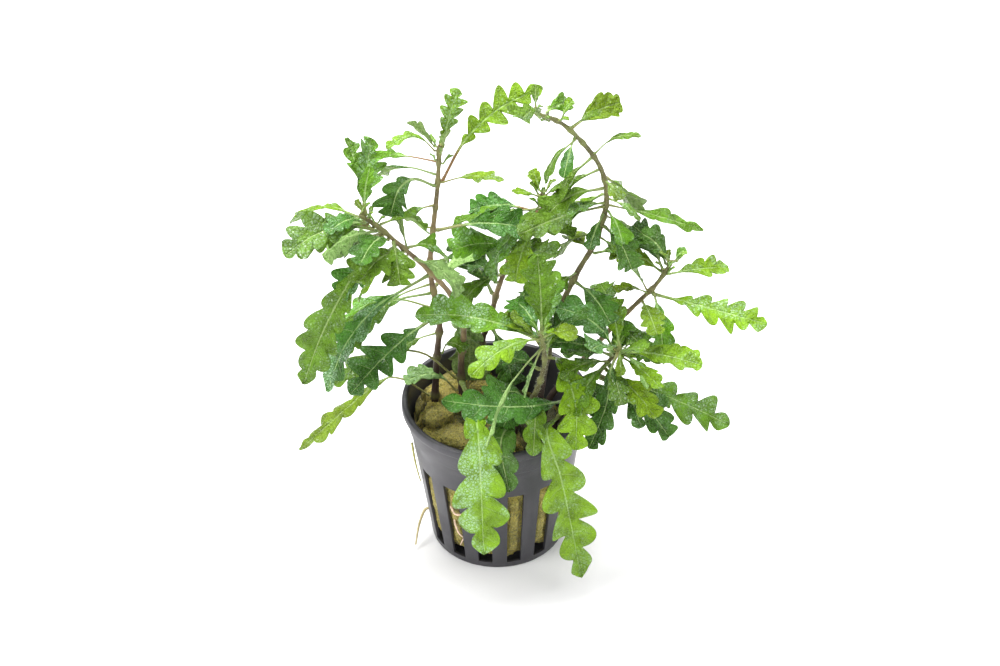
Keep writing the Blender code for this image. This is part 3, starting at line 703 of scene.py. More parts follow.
def blade_half(progress, lobes, depth, lean, jitter):
    """Half width of the blade as a share of the widest, on one side, and its phase along the lobes."""
    outline = np.abs(np.sin(np.pi * (0.05 + 0.95 * progress) ** 1.1)) ** 0.75
    outline = outline * ease(-0.06, 0.3, progress) ** 0.5
    phase = lobes * progress + lean * ease(0, 0.15, progress) * ease(0, 0.15, 1 - progress)
    part = phase - np.floor(phase)
    lobe = np.abs(np.sin(np.pi * part**0.85)) ** (0.6 + 0.25 * fingers(depth))
    depth = min(0.84, depth * (1 + 1.2 * depth))
    whole = ease(0, 0.5 / lobes, 1 - progress - 0.25 / lobes)
    size = 1 + jitter * np.sin(2.1 * np.floor(phase) + 5 * jitter)
    return outline * (1 - depth * (1 - lobe) * whole) * size, phase


def leaf_mesh(leaf, centre, points):
    """Points, faces and stored values of one leaf with its stalk, as a closed thin body."""
    looks = bpy.context.scene.hygrophila_leaves
    dice = random.Random(f"leaf {leaf.name}")
    route = Route(points)
    reach = np.array(points[-1] - points[0])
    level = np.array((-reach[1], reach[0], 0.0))
    level /= np.linalg.norm(level)
    width = leaf.width * MM
    stalk_radius = max(THINNEST_STALK, 0.05 * width)
    steps = PER_LOBE * leaf.lobes
    blade = leaf.stalk + (1 - leaf.stalk) * (np.arange(steps + 1) / steps)
    stalk = leaf.stalk * np.arange(STALK_RINGS) / STALK_RINGS
    shares = np.concatenate([stalk, blade])
    progress = (shares - leaf.stalk) / (1 - leaf.stalk)
    inside = np.clip(progress, 0, 1)

    spine = route.points(shares)
    along = route.tangents(shares)
    side = level - (along @ level)[:, None] * along
    side /= np.linalg.norm(side, axis=1, keepdims=True)
    wobble = math.radians(dice.uniform(5, 14)) * np.sin(inside * dice.uniform(2.5, 5) + dice.uniform(0, 6))
    turn = math.radians(leaf.roll) * np.minimum(1, shares / 0.35) + wobble * ease(0, 0.3, inside)
    normal = np.cross(along, side)
    side = np.cos(turn)[:, None] * side + np.sin(turn)[:, None] * normal
    normal = np.cross(along, side)

    across = np.array([-v for v in reversed(ACROSS)] + [0.0] + list(ACROSS))
    reach_out = np.abs(across)
    lean = dice.uniform(0.05, 0.2) * dice.choice((-1, 1))
    jitter = dice.uniform(0.06, 0.16)
    right, phase_right = blade_half(inside, leaf.lobes, leaf.depth, lean, jitter)
    left, phase_left = blade_half(inside, leaf.lobes, leaf.depth, -lean, -jitter)
    is_right = across > 0
    half = width / 2 * np.where(is_right, right[:, None], left[:, None])
    phase = np.where(is_right, phase_right[:, None], phase_left[:, None])
    flat = ease(0, 0.08, inside)[:, None]

    part = phase - np.floor(phase) - 0.5
    along_rib = np.abs(np.sin(np.pi * (2.2 * reach_out + 0.1 * dice.random())))
    bulge = np.abs(np.sin(np.pi * part)) ** 1.2 * along_rib
    room = np.sin(np.pi * np.clip(reach_out, 0, 1) ** 0.8) ** 0.5
    past_stalk = ease(0, 0.15, inside)[:, None]
    pucker_height = looks.pucker * min(1, leaf.width / 9)
    crinkle = np.sin(1.9 * shares * route.length / MM + dice.uniform(0, 6))[:, None]
    crinkle = crinkle * np.sin(1.7 * across * half / MM + dice.uniform(0, 6)) * room * past_stalk
    pucker = pucker_height * bulge * room * past_stalk + 0.22 * pucker_height * crinkle
    waves = np.sin(math.tau * (0.5 * phase + dice.random())) * looks.ruffle * half * reach_out**2
    swing = dice.uniform(-0.22, 0.2)
    height = looks.fold * half * reach_out - swing * half * reach_out**2 + pucker + waves
    groove = GROOVE_DEPTH * np.exp(-((across * half / GROOVE_WIDTH) ** 2))
    thick = looks.thickness / 2 * (1 - 0.35 * reach_out**2) * (1 - 0.3 * inside[:, None])
    rib = stalk_radius * 0.75 * (1 - inside[:, None]) ** 0.6 * np.exp(-((across * half / RIB_WIDTH) ** 2))

    base_swell = 1 + 0.5 * np.exp(-shares * route.length / SWELL_LENGTH)
    round_radius = (stalk_radius * (0.8 + 0.2 * leaf.stalk) * base_swell)[:, None]
    bend = across * math.pi / 2
    round_out = round_radius * np.sin(bend)
    round_top = round_radius * (0.75 * np.cos(bend) - 0.3 * np.exp(-((across / 0.4) ** 2)))
    round_low = -round_radius * np.cos(bend)
    out = (1 - flat) * round_out + flat * across * half
    top = (1 - flat) * round_top + flat * (height + thick - groove)
    low = (1 - flat) * round_low + flat * (height - thick - rib)
    push = flat * looks.sweep * (1 - 0.35 * fingers(leaf.depth)) * half * reach_out**1.6

    def lay(rise):
        place = spine[:, None, :] + out[..., None] * side[:, None, :]
        return place + rise[..., None] * normal[:, None, :] + push[..., None] * along[:, None, :]

    facing = -1 if leaf.name in TURNED_OVER else 1
    upper, lower = lay(facing * top), lay(facing * low)
    rings = np.concatenate([upper, lower[:, -2:0:-1]], axis=1)
    around = rings.shape[1]
    first = np.array(centre) + 0.6 * (rings[0] - spine[0])
    rings = np.concatenate([first[None], rings])

    def ring_value(upper_value, lower_value=None):
        lower_value = upper_value if lower_value is None else lower_value
        both = np.concatenate([upper_value, lower_value[:, -2:0:-1]], axis=1)
        return np.concatenate([both[:1], both]).ravel()

    ones = np.ones((len(shares), len(across)))
    along_mm = ones * (shares * route.length / MM)[:, None] + push / MM
    values = {
        "leaf_along": ring_value(ones * progress[:, None]),
        "leaf_across": ring_value(ones * across),
        "leaf_phase": ring_value(phase),
        "leaf_under": ring_value(0 * ones, ones),
    }
    under_place = ring_value(0 * ones, UNDERSIDE_SHIFT * ones)
    values["leaf_place"] = np.stack([ring_value(along_mm), ring_value(out / MM), under_place], axis=1)
    values["leaf_place"][:, 2] += 97 * dice.random()
    # Per leaf: its random tone, how wet it looks (its coat and its painted sheen) and how red its stalk is.
    shade, wet, red = dice.uniform(-1, 1), dice.uniform(0, 0.6), dice.uniform(0.1, 0.6)
    whole = {"leaf_shade": SHADES.get(leaf.name, shade), "leaf_wet": WET_AND_PAINTED_SHEEN.get(leaf.name, wet)}
    whole["leaf_red"] = 1.0 if leaf.name in RED_STALKS else red
    for key, value in whole.items():
        values[key] = np.full(len(rings) * around, value)
    return rings.reshape(-1, 3), ring_faces(len(rings), around), values


def join_meshes(parts):
    """Several (points, faces, values) as one."""
    points, faces, values = [], [], {}
    for some_points, some_faces, some_values in parts:
        shift = sum(len(p) for p in points)
        points.append(some_points)
        faces.extend(tuple(i + shift for i in face) for face in some_faces)
        for key, numbers in some_values.items():
            values.setdefault(key, []).append(numbers)
    return np.concatenate(points), faces, {key: np.concatenate(numbers) for key, numbers in values.items()}


# ---------------------------------------------------------------- materials


def make_node(tree, kind, inputs=None, **settings):
    """A node of a ShaderNode kind, with each input linked or set, and its own settings."""
    node = tree.nodes.new(f"ShaderNode{kind}")
    for name, value in settings.items():
        setattr(node, name, value)
    for key, value in (inputs or {}).items():
        if isinstance(value, bpy.types.NodeSocket):
            tree.links.new(value, node.inputs[key])
        else:
            node.inputs[key].default_value = value
    return node


def maths(tree, operation, a, b=0.0, clamp=False):
    return make_node(tree, "Math", {0: a, 1: b}, operation=operation, use_clamp=clamp).outputs[0]


def times(tree, a, b):
    return maths(tree, "MULTIPLY", a, b)


def ramp(tree, value, low, high, to_low=0.0, to_high=1.0):
    """A smooth change from to_low to to_high as value goes from low to high."""
    inputs = {"Value": value, "From Min": low, "From Max": high, "To Min": to_low, "To Max": to_high}
    return make_node(tree, "MapRange", inputs, interpolation_type="SMOOTHSTEP").outputs[0]


def mix(tree, factor, a, b, blend="MIX"):
    inputs = {0: factor, 6: a, 7: b}
    return make_node(tree, "Mix", inputs, data_type="RGBA", blend_type=blend).outputs[2]


def grain_noise(tree, place, scale, detail):
    return make_node(tree, "TexNoise", {"Vector": place, "Scale": scale, "Detail": detail}).outputs


def height_of(tree, place):
    return make_node(tree, "SeparateXYZ", {0: place}).outputs["Z"]


def stored(tree, name, output="Fac"):
    """A value that add_piece stored on the mesh."""
    return make_node(tree, "Attribute", attribute_name=name).outputs[output]


def new_group(name, inputs, outputs):
    """An empty node group with named sockets, each input (label, kind, value)."""
    group = bpy.data.node_groups.new(name, "ShaderNodeTree")
    for label, kind, value in inputs:
        group.interface.new_socket(label, in_out="INPUT", socket_type=kind).default_value = value
    for label, kind in outputs:
        group.interface.new_socket(label, in_out="OUTPUT", socket_type=kind)
    return group, group.nodes.new("NodeGroupInput").outputs, group.nodes.new("NodeGroupOutput").inputs


def use_group(tree, group, inputs):
    return make_node(tree, "Group", inputs, node_tree=group).outputs


FLOAT, COLOUR, VECTOR = "NodeSocketFloat", "NodeSocketColor", "NodeSocketVector"


def mottle_group():
    """Soft patches and fine grain of one surface, for every material."""
    if "Mottle" in bpy.data.node_groups:
        return bpy.data.node_groups["Mottle"]
    sockets = (("Place", VECTOR, (0, 0, 0)), ("Patch Scale", FLOAT, 100.0), ("Grain Scale", FLOAT, 1500.0))
    group, start, end = new_group("Mottle", sockets, (("Patches", FLOAT), ("Grain", FLOAT)))
    patches = grain_noise(group, start["Place"], start["Patch Scale"], 4.0)["Fac"]
    grain = grain_noise(group, start["Place"], start["Grain Scale"], 3.0)["Fac"]
    group.links.new(ramp(group, patches, 0.33, 0.67), end["Patches"])
    group.links.new(ramp(group, grain, 0.3, 0.7), end["Grain"])
    return group


def mottled(tree, place, patch_scale, grain_scale):
    """The mottle group's outputs, Patches and Grain, in a tree that uses it."""
    inputs = {"Place": place, "Patch Scale": patch_scale, "Grain Scale": grain_scale}
    return use_group(tree, mottle_group(), inputs)


def vein_group():
    """Midrib, side veins and the net between them, from the values stored on a leaf."""
    if "Leaf Veins" in bpy.data.node_groups:
        return bpy.data.node_groups["Leaf Veins"]
    sockets = (("Vein Width", FLOAT, 0.25), ("Net Size", FLOAT, 0.9))
    outputs = (("Midrib", FLOAT), ("Side Veins", FLOAT), ("Net", FLOAT), ("Dome", FLOAT), ("Relief", FLOAT))
    group, start, end = new_group("Leaf Veins", sockets, outputs)
    place = stored(group, "leaf_place", "Vector")
    out = make_node(group, "SeparateXYZ", {0: place}).outputs["Y"]
    distance = maths(group, "ABSOLUTE", out)
    along = stored(group, "leaf_along")
    taper = ramp(group, along, 0.0, 1.0, 1.3, 0.5)
    width = times(group, start["Vein Width"], taper)
    midrib = maths(group, "SUBTRACT", 1.0, ramp(group, maths(group, "DIVIDE", distance, width), 0.5, 1.6))
    phase = maths(group, "FRACT", stored(group, "leaf_phase"))
    off_vein = maths(group, "ABSOLUTE", maths(group, "SUBTRACT", phase, 0.5))
    reach = maths(group, "ABSOLUTE", stored(group, "leaf_across"))
    side_width = ramp(group, reach, 0.0, 0.95, 0.035, 0.01)
    side = maths(group, "SUBTRACT", 1.0, ramp(group, maths(group, "DIVIDE", off_vein, side_width), 0.3, 1.5))
    side = times(group, side, ramp(group, reach, 0.75, 0.95, 1.0, 0.0))
    side = times(group, side, ramp(group, along, 0.0, 0.05))
    inputs = {"Vector": place, "Scale": start["Net Size"]}
    to_net = make_node(group, "TexVoronoi", inputs, feature="DISTANCE_TO_EDGE").outputs["Distance"]
    net = maths(group, "SUBTRACT", 1.0, ramp(group, to_net, 0.0, 0.11))
    dome = ramp(group, to_net, 0.0, 0.45)
    relief = maths(group, "SUBTRACT", dome, times(group, side, 0.8))
    relief = maths(group, "SUBTRACT", relief, times(group, midrib, 0.25))
    values = {"Midrib": midrib, "Side Veins": side, "Net": net, "Dome": dome, "Relief": relief}
    for label, value in values.items():
        group.links.new(value, end[label])
    return group


def leaf_finish_group():
    """Colour, roughness and relief of a blade, its underside and its stalk, with painted sheen on the glossy
    domes and painted shade in the net between them.
    """
    if "Leaf Finish" in bpy.data.node_groups:
        return bpy.data.node_groups["Leaf Finish"]
    colours = ("Blade", "Deep", "Vein", "Underside", "Stalk", "Sheen")
    strengths = ("Vein Strength", "Smooth", "Rough", "Gloss")
    sockets = [(label, COLOUR, (0.1, 0.3, 0.03, 1)) for label in colours]
    sockets += [(label, FLOAT, 0.5) for label in strengths]
    outputs = (("Colour", COLOUR), ("Roughness", FLOAT), ("Gloss", FLOAT), ("Height", FLOAT))
    group, start, end = new_group("Leaf Finish", sockets, outputs)
    veins = use_group(group, vein_group(), {"Vein Width": 0.2, "Net Size": 1.05})
    place = stored(group, "leaf_place", "Vector")
    mottle = mottled(group, place, 0.22, 3.5)
    blade = mix(group, mottle["Patches"], start["Deep"], start["Blade"])
    # Painted shade in the creases: the net lines between the puckered domes are darkened towards the deep colour.
    blade = mix(group, times(group, veins["Net"], 0.5), blade, start["Deep"])
    # Painted sheen: the pale sheen colour is mixed into the blade on glossy flecks over the domes, standing in
    # for highlights; the same flecks also set the coat.
    wet = mottled(group, place, 0.13, 1.5)
    flecks = times(group, ramp(group, wet["Grain"], 0.35, 0.7), ramp(group, wet["Patches"], 0.1, 0.8))
    flecks = times(group, flecks, ramp(group, veins["Dome"], 0.2, 0.7))
    gloss = times(group, flecks, start["Gloss"])
    blade = mix(group, times(group, gloss, 0.32), blade, start["Sheen"])
    # Painted sheen on broad wet patches over the domes, scaled by how wet the leaf looks; these patches also
    # raise the coat.
    broad = times(group, stored(group, "leaf_wet"), ramp(group, wet["Patches"], 0.25, 0.75))
    broad = times(group, broad, ramp(group, veins["Dome"], 0.0, 0.22))
    broad = times(group, broad, ramp(group, wet["Grain"], 0.1, 0.6, 0.5, 1.0))
    blade = mix(group, times(group, broad, 0.66), blade, start["Sheen"])
    gloss = maths(group, "MAXIMUM", gloss, times(group, broad, 0.4))
    strength = start["Vein Strength"]
    blade = mix(group, times(group, veins["Side Veins"], strength), blade, start["Vein"])
    under = stored(group, "leaf_under")
    lower = mix(group, times(group, veins["Net"], 0.5), start["Underside"], start["Vein"])
    lower = mix(group, veins["Side Veins"], lower, start["Vein"])
    blade = mix(group, under, blade, lower)
    rib = maths(group, "MULTIPLY", veins["Midrib"], maths(group, "ADD", strength, 0.42), clamp=True)
    blade = mix(group, rib, blade, start["Vein"])
    shade = stored(group, "leaf_shade")
    inputs = {"Color": blade, "Hue": ramp(group, shade, -1.0, 1.0, 0.487, 0.505)}
    inputs["Value"] = ramp(group, shade, -1.0, 1.0, 0.84, 1.2)
    tint = make_node(group, "HueSaturation", inputs).outputs[0]
    on_stalk = ramp(group, stored(group, "leaf_along"), -0.12, 0.1, 1.0, 0.0)
    green_stalk = mix(group, 0.5, start["Vein"], start["Deep"])
    stalk = mix(group, stored(group, "leaf_red"), green_stalk, start["Stalk"])
    colour_out = mix(group, on_stalk, tint, stalk)
    patches = ramp(group, mottle["Patches"], 0.0, 1.0)
    inputs = {"Value": patches, "To Min": start["Smooth"], "To Max": start["Rough"]}
    rough = make_node(group, "MapRange", inputs).outputs[0]
    height = maths(group, "ADD", veins["Relief"], times(group, mottle["Grain"], 0.35))
    gloss = times(group, gloss, ramp(group, under, 0.0, 1.0, 1.0, 0.2))
    for label, value in (("Colour", colour_out), ("Roughness", rough), ("Gloss", gloss), ("Height", height)):
        group.links.new(value, end[label])
    return group


def new_material(name, **sockets):
    """A material with a Principled shader whose sockets hold the values given."""
    material = bpy.data.materials.new(name)
    material.use_nodes = True
    shader = material.node_tree.nodes["Principled BSDF"]
    for label, value in sockets.items():
        shader.inputs[label.replace("_", " ").title().replace("Ior", "IOR")].default_value = value
    return material, material.node_tree, shader


def finish_material(tree, shader, tone, rough, height, distance, strength):
    tree.links.new(tone, shader.inputs["Base Color"])
    tree.links.new(rough, shader.inputs["Roughness"])
    bump = make_node(tree, "Bump", {"Height": height, "Distance": distance, "Strength": strength})
    tree.links.new(bump.outputs[0], shader.inputs["Normal"])


def opaque(tone):
    return (*tone, 1.0)


def scaled(tone, factor):
    return (*(min(1.0, part * factor) for part in tone), 1.0)


LEAF_FINISHES = {
    # tone: (vein strength, smoothest, roughest, gloss of the flecks, which also scales their painted sheen)
    "young": (0.14, 0.24, 0.50, 0.6),
    "mid": (0.18, 0.22, 0.48, 0.8),
    "dark": (0.24, 0.18, 0.42, 0.6),
    "pale": (0.34, 0.35, 0.60, 0.3),
}


def leaf_material(tone):
    name = f"{tone}_leaf_surface"
    if name in bpy.data.materials:
        return bpy.data.materials[name]
    looks = bpy.context.scene.hygrophila_leaves
    strength, smooth, rough, gloss = LEAF_FINISHES[tone]
    material, tree, shader = new_material(name, coat_roughness=0.24, coat_ior=1.7, specular_ior_level=0.34)
    inputs = {"Blade": opaque(getattr(looks, tone)), "Deep": scaled(getattr(looks, tone), 0.56)}
    inputs |= {"Vein": opaque(looks.vein), "Underside": opaque(looks.pale), "Stalk": opaque(looks.stalk)}
    inputs |= {"Sheen": opaque(looks.sheen), "Vein Strength": strength}
    inputs |= {"Smooth": smooth, "Rough": rough, "Gloss": gloss}
    finish = use_group(tree, leaf_finish_group(), inputs)
    tree.links.new(finish["Gloss"], shader.inputs["Coat Weight"])
    finish_material(tree, shader, finish["Colour"], finish["Roughness"], finish["Height"], 0.3 * MM, 1.0)
    return material


def own_place(tree):
    return make_node(tree, "TexCoord").outputs["Object"]


def plastic_material():
    pot = bpy.context.scene.hygrophila_pot
    material, tree, shader = new_material("charcoal_plastic_surface", specular_ior_level=0.5)
    place = own_place(tree)
    mottle = mottled(tree, place, 60.0, 2600.0)
    height = height_of(tree, place)
    streak_place = make_node(tree, "Mapping", {"Vector": place, "Scale": (260.0, 260.0, 22.0)}).outputs[0]
    streaks = grain_noise(tree, streak_place, 1.0, 4.0)["Fac"]
    rubbed = ramp(tree, streaks, 0.5, 0.8, 0.0, 0.55)
    tone = mix(tree, rubbed, opaque(pot.plastic), opaque(pot.scuffs))
    tone = mix(tree, times(tree, mottle["Patches"], 0.25), tone, scaled(pot.plastic, 0.7))
    low = ramp(tree, height, 0.0, 6 * MM, 0.35, 0.0)
    tone = mix(tree, low, tone, scaled(pot.plastic, 0.45))
    rough = ramp(tree, mottle["Patches"], 0.0, 1.0, 0.38, 0.52)
    rough = maths(tree, "ADD", rough, times(tree, rubbed, 0.15))
    relief = maths(tree, "ADD", mottle["Grain"], times(tree, streaks, 0.8))
    finish_material(tree, shader, tone, rough, relief, 0.03 * MM, 0.6)
    return material


def wool_material():
    if "rock_wool_surface" in bpy.data.materials:
        return bpy.data.materials["rock_wool_surface"]
    wool = bpy.context.scene.hygrophila_wool
    material, tree, shader = new_material("rock_wool_surface", specular_ior_level=0.2, sheen_weight=0.15)
    place = own_place(tree)
    mottle = mottled(tree, place, 170.0, 2200.0)
    wide = mottled(tree, place, 55.0, 900.0)
    bent = grain_noise(tree, place, 260.0, 2.0)["Color"]
    warped = mix(tree, 0.012, place, bent, "ADD")
    inputs = {"Vector": warped, "Scale": 330.0, "Distortion": 9.0, "Detail": 3.0}
    threads = make_node(tree, "TexWave", inputs).outputs["Fac"]
    fibre = make_node(tree, "TexVoronoi", {"Vector": warped, "Scale": 900.0}).outputs["Distance"]
    tone = mix(tree, mottle["Patches"], opaque(wool.dull), opaque(wool.bright))
    tone = mix(tree, times(tree, wide["Patches"], 0.5), tone, opaque(wool.algae))
    tone = mix(tree, ramp(tree, threads, 0.2, 0.9, 0.0, 0.35), tone, opaque(wool.bright))
    tone = mix(tree, ramp(tree, fibre, 0.1, 0.6, 0.35, 0.0), tone, scaled(wool.dull, 0.6))
    height = height_of(tree, place)
    tone = mix(tree, ramp(tree, height, 2 * MM, 14 * MM, 0.45, 0.0), tone, scaled(wool.dull, 0.7))
    specks = times(tree, ramp(tree, mottle["Grain"], 0.55, 0.8), ramp(tree, wide["Grain"], 0.3, 0.8))
    tone = mix(tree, times(tree, specks, 0.75), tone, opaque(wool.algae))
    # Painted shade: where the plug's top has sunk into the hollow, it is darkened almost to black with the algae
    # colour scaled down.
    tone = mix(tree, times(tree, stored(tree, "wool_damp"), 0.9), tone, scaled(wool.algae, 0.3))
    rough = ramp(tree, mottle["Grain"], 0.0, 1.0, 0.75, 1.0)
    relief = maths(tree, "ADD", times(tree, threads, 0.7), mottle["Grain"])
    relief = maths(tree, "ADD", relief, times(tree, fibre, 0.8))
    finish_material(tree, shader, tone, rough, relief, 0.3 * MM, 1.0)
    return material


def fibre_material():
    wool = bpy.context.scene.hygrophila_wool
    material, tree, shader = new_material("wool_fibre_surface", specular_ior_level=0.3)
    mottle = mottled(tree, own_place(tree), 240.0, 4000.0)
    tone = mix(tree, mottle["Patches"], scaled(wool.dull, 1.4), scaled(wool.bright, 1.15))
    rough = ramp(tree, mottle["Grain"], 0.0, 1.0, 0.5, 0.8)
    finish_material(tree, shader, tone, rough, mottle["Grain"], 0.02 * MM, 0.5)
    return material


def bark_material():
    if "stem_surface" in bpy.data.materials:
        return bpy.data.materials["stem_surface"]
    stems = bpy.context.scene.hygrophila_stems
    material, tree, shader = new_material("stem_surface", specular_ior_level=0.35, sheen_weight=0.1)
    place = own_place(tree)
    mottle = mottled(tree, place, 240.0, 2400.0)
    age = stored(tree, "stem_age")
    green = stored(tree, "stem_green")
    knot = stored(tree, "stem_knot")
    hair = stored(tree, "stem_hair")
    tone = mix(tree, green, opaque(stems.tan_bark), opaque(stems.green_bark))
    tone = mix(tree, age, tone, opaque(stems.old_bark))
    tone = mix(tree, times(tree, mottle["Patches"], 0.55), tone, scaled(stems.old_bark, 1.6))
    tone = mix(tree, times(tree, knot, 0.35), tone, scaled(stems.green_bark, 1.5))
    tone = mix(tree, hair, tone, opaque(stems.hair))
    rough = ramp(tree, mottle["Grain"], 0.0, 1.0, 0.42, 0.72)
    stretched = make_node(tree, "Mapping", {"Vector": place, "Scale": (1.0, 1.0, 0.2)}).outputs[0]
    ridges = grain_noise(tree, stretched, 2600.0, 2.0)["Fac"]
    relief = maths(tree, "ADD", ridges, times(tree, mottle["Grain"], 0.5))
    finish_material(tree, shader, tone, rough, relief, 0.12 * MM, 0.8)
    return material


def root_material():
    stems = bpy.context.scene.hygrophila_stems
    material, tree, shader = new_material("root_surface", specular_ior_level=0.4)
    mottle = mottled(tree, own_place(tree), 420.0, 3200.0)
    tone = mix(tree, stored(tree, "root_green"), opaque(stems.root), opaque(stems.green_root))
    tone = mix(tree, times(tree, mottle["Patches"], 0.35), tone, scaled(stems.green_root, 0.5))
    rough = ramp(tree, mottle["Grain"], 0.0, 1.0, 0.4, 0.65)
    finish_material(tree, shader, tone, rough, mottle["Grain"], 0.04 * MM, 0.6)
    return material


def floor_material():
    stage = bpy.context.scene.hygrophila_stage
    material, tree, shader = new_material("floor_surface", specular_ior_level=0.2)
    mottle = mottled(tree, own_place(tree), 3.0, 60.0)
    tone = mix(tree, times(tree, mottle["Patches"], 0.03), opaque(stage.floor), scaled(stage.floor, 0.95))
    tree.links.new(tone, shader.inputs["Base Color"])
    shader.inputs["Roughness"].default_value = 0.7
    return material


# ---------------------------------------------------------------- operators


class HYGROPHILA_OT_pot(bpy.types.Operator):
    """Moulds the net pot: rolled rim, stepped collar, slots and base"""

    bl_idname = "hygrophila.pot"
    bl_label = "Net Pot"

    IN_SLOT = 6  # columns across a slot
    IN_RIB = 5  # columns across the wall between two slots
    ROWS = 12  # rows up a slot
    RISE = 0.6 * MM  # of the base over the ring it stands on
    ROUND = 0.75 * MM  # radius of the rim's outer edges
    EDGE_WIDTH = 0.16 * MM

    def profile(self, pot):
        """(radius, height, share up the slots or None) round the closed section, outside first."""
        foot, head = pot.slot_foot, POT_TOP - pot.slot_head
        collar = POT_TOP - pot.collar_depth
        under_rim = POT_TOP - pot.rim_depth
        base, step = pot.base_radius, pot.collar_step
        slot = [(foot + (head - foot) * i / self.ROWS, i / self.ROWS) for i in range(self.ROWS + 1)]

        def plain(*points):
            return [(radius, z, None) for radius, z in points]

        def wall(z, out=0.0, up=0.0):
            return wall_radius(z) + out, z + up

        line = plain((0.0, self.RISE), (0.55 * base, self.RISE), (base - 2.2 * MM, self.RISE))
        line += plain((base - 1.6 * MM, 0.0), (base - 0.5 * MM, 0.0))
        line += plain(wall(0.15 * MM, -0.15 * MM), wall(0.5 * MM))
        line += [(wall_radius(z), z, up) for z, up in slot]
        line += plain(wall(head + (collar - head) * 0.33), wall(head + (collar - head) * 0.67))
        line += plain(wall(collar - 0.1 * MM), wall(collar, 0.5 * step, 0.15 * MM), wall(collar, step, step))
        line += plain(wall(under_rim - 1 * MM, step), wall(under_rim, step, -0.1 * MM))
        for turn in (-70, -35, 0, 30, 60, 90):  # the rim's rounded outside
            angle = math.radians(turn)
            middle = under_rim + self.ROUND if turn <= 0 else POT_TOP - self.ROUND
            radius = pot.rim_radius - self.ROUND + self.ROUND * math.cos(angle)
            line += plain((radius, middle + self.ROUND * math.sin(angle)))
        inner = wall_radius(POT_TOP) - pot.wall + step
        line += plain((inner + 0.3 * MM, POT_TOP), (inner, POT_TOP - 0.3 * MM))
        line += plain(wall(under_rim, step - pot.wall), wall(collar, -pot.wall))
        line += [(wall_radius(z) - pot.wall, z, up) for z, up in reversed(slot)]
        floor = WOOL_BOX[0].z - CLEARANCE
        return line + plain(wall(floor, -pot.wall), (0.0, floor))

    def angles(self, pot, up):
        """Where the columns stand round the axis at a share of the slots' height, and which lie in slots."""
        foot, head = pot.slot_foot, POT_TOP - pot.slot_head
        width = pot.slot_foot_width + (pot.slot_width - pot.slot_foot_width) * up
        half = width / 2 / wall_radius(foot + (head - foot) * up)
        sector = math.tau / pot.slot_count
        angles, open_cells = [], []
        for i in range(pot.slot_count):
            middle = math.radians(SLOT_TURN) + i * sector
            for k in range(self.IN_SLOT):
                angles.append(middle - half + 2 * half * k / self.IN_SLOT)
                open_cells.append(True)
            for k in range(self.IN_RIB):
                angles.append(middle + half + (sector - 2 * half) * k / self.IN_RIB)
                open_cells.append(False)
        return angles, open_cells

    def execute(self, context):
        pot = context.scene.hygrophila_pot
        line = self.profile(pot)
        builder = bmesh.new()
        rows = []
        for radius, z, up in line:
            share_up = up if up is not None else (0.0 if z < POT_TOP / 2 else 1.0)
            angles, open_cells = self.angles(pot, share_up)
            if radius == 0:
                rows.append([builder.verts.new((0, 0, z))])
                continue
            rows.append([builder.verts.new((radius * math.cos(a), radius * math.sin(a), z)) for a in angles])
        count = len(open_cells)
        for row, (lower, upper) in enumerate(zip(rows, rows[1:])):
            slotted = line[row][2] is not None and line[row + 1][2] is not None
            for k in range(count):
                j = (k + 1) % count
                if slotted and open_cells[k]:
                    continue
                if len(lower) == 1:
                    builder.faces.new((lower[0], upper[j], upper[k]))
                elif len(upper) == 1:
                    builder.faces.new((lower[k], lower[j], upper[0]))
                else:
                    builder.faces.new((lower[k], lower[j], upper[j], upper[k]))
        slot_rows = [i for i, point in enumerate(line) if point[2] is not None]
        outside, inside = slot_rows[: self.ROWS + 1], slot_rows[: self.ROWS : -1]
        for k in range(count):
            j = (k + 1) % count
            if not open_cells[k]:
                continue
            for out_row, in_row in ((outside[0], inside[0]), (outside[-1], inside[-1])):
                builder.faces.new((rows[out_row][k], rows[out_row][j], rows[in_row][j], rows[in_row][k]))
            for column in ([k] if not open_cells[k - 1] else []) + ([j] if not open_cells[j] else []):
                for a, b, c, d in zip(outside, outside[1:], inside[1:], inside):
                    builder.faces.new((rows[a][column], rows[b][column], rows[c][column], rows[d][column]))
        bmesh.ops.recalc_face_normals(builder, faces=builder.faces)
        mesh = bpy.data.meshes.new("net_pot")
        fill_mesh(mesh, builder)
        piece = smooth_piece("net_pot", mesh, plastic_material(), "plastic", ["pot"])
        edge = piece.modifiers.new("moulded edges", "BEVEL")
        edge.width = self.EDGE_WIDTH
        edge.segments = 2
        edge.limit_method = "ANGLE"
        edge.angle_limit = math.radians(50)
        edge.harden_normals = True
        return {"FINISHED"}


CHUNKS_PER_METRE = 82  # of the wool's torn top


def torn(place, scale, seed=0.0):
    """Rough noise from -1 to 1 at a point, for torn wool."""
    where = Vector(place) * scale + Vector((seed, seed, seed))
    return noise.fractal(where, 0.8, 2.1, 5)


def hollow_depth(x, y):
    """How far the wool has sunk on the side where none lies on top."""
    return 9 * MM * float(ease(1 * MM, 13 * MM, x + 0.3 * y))


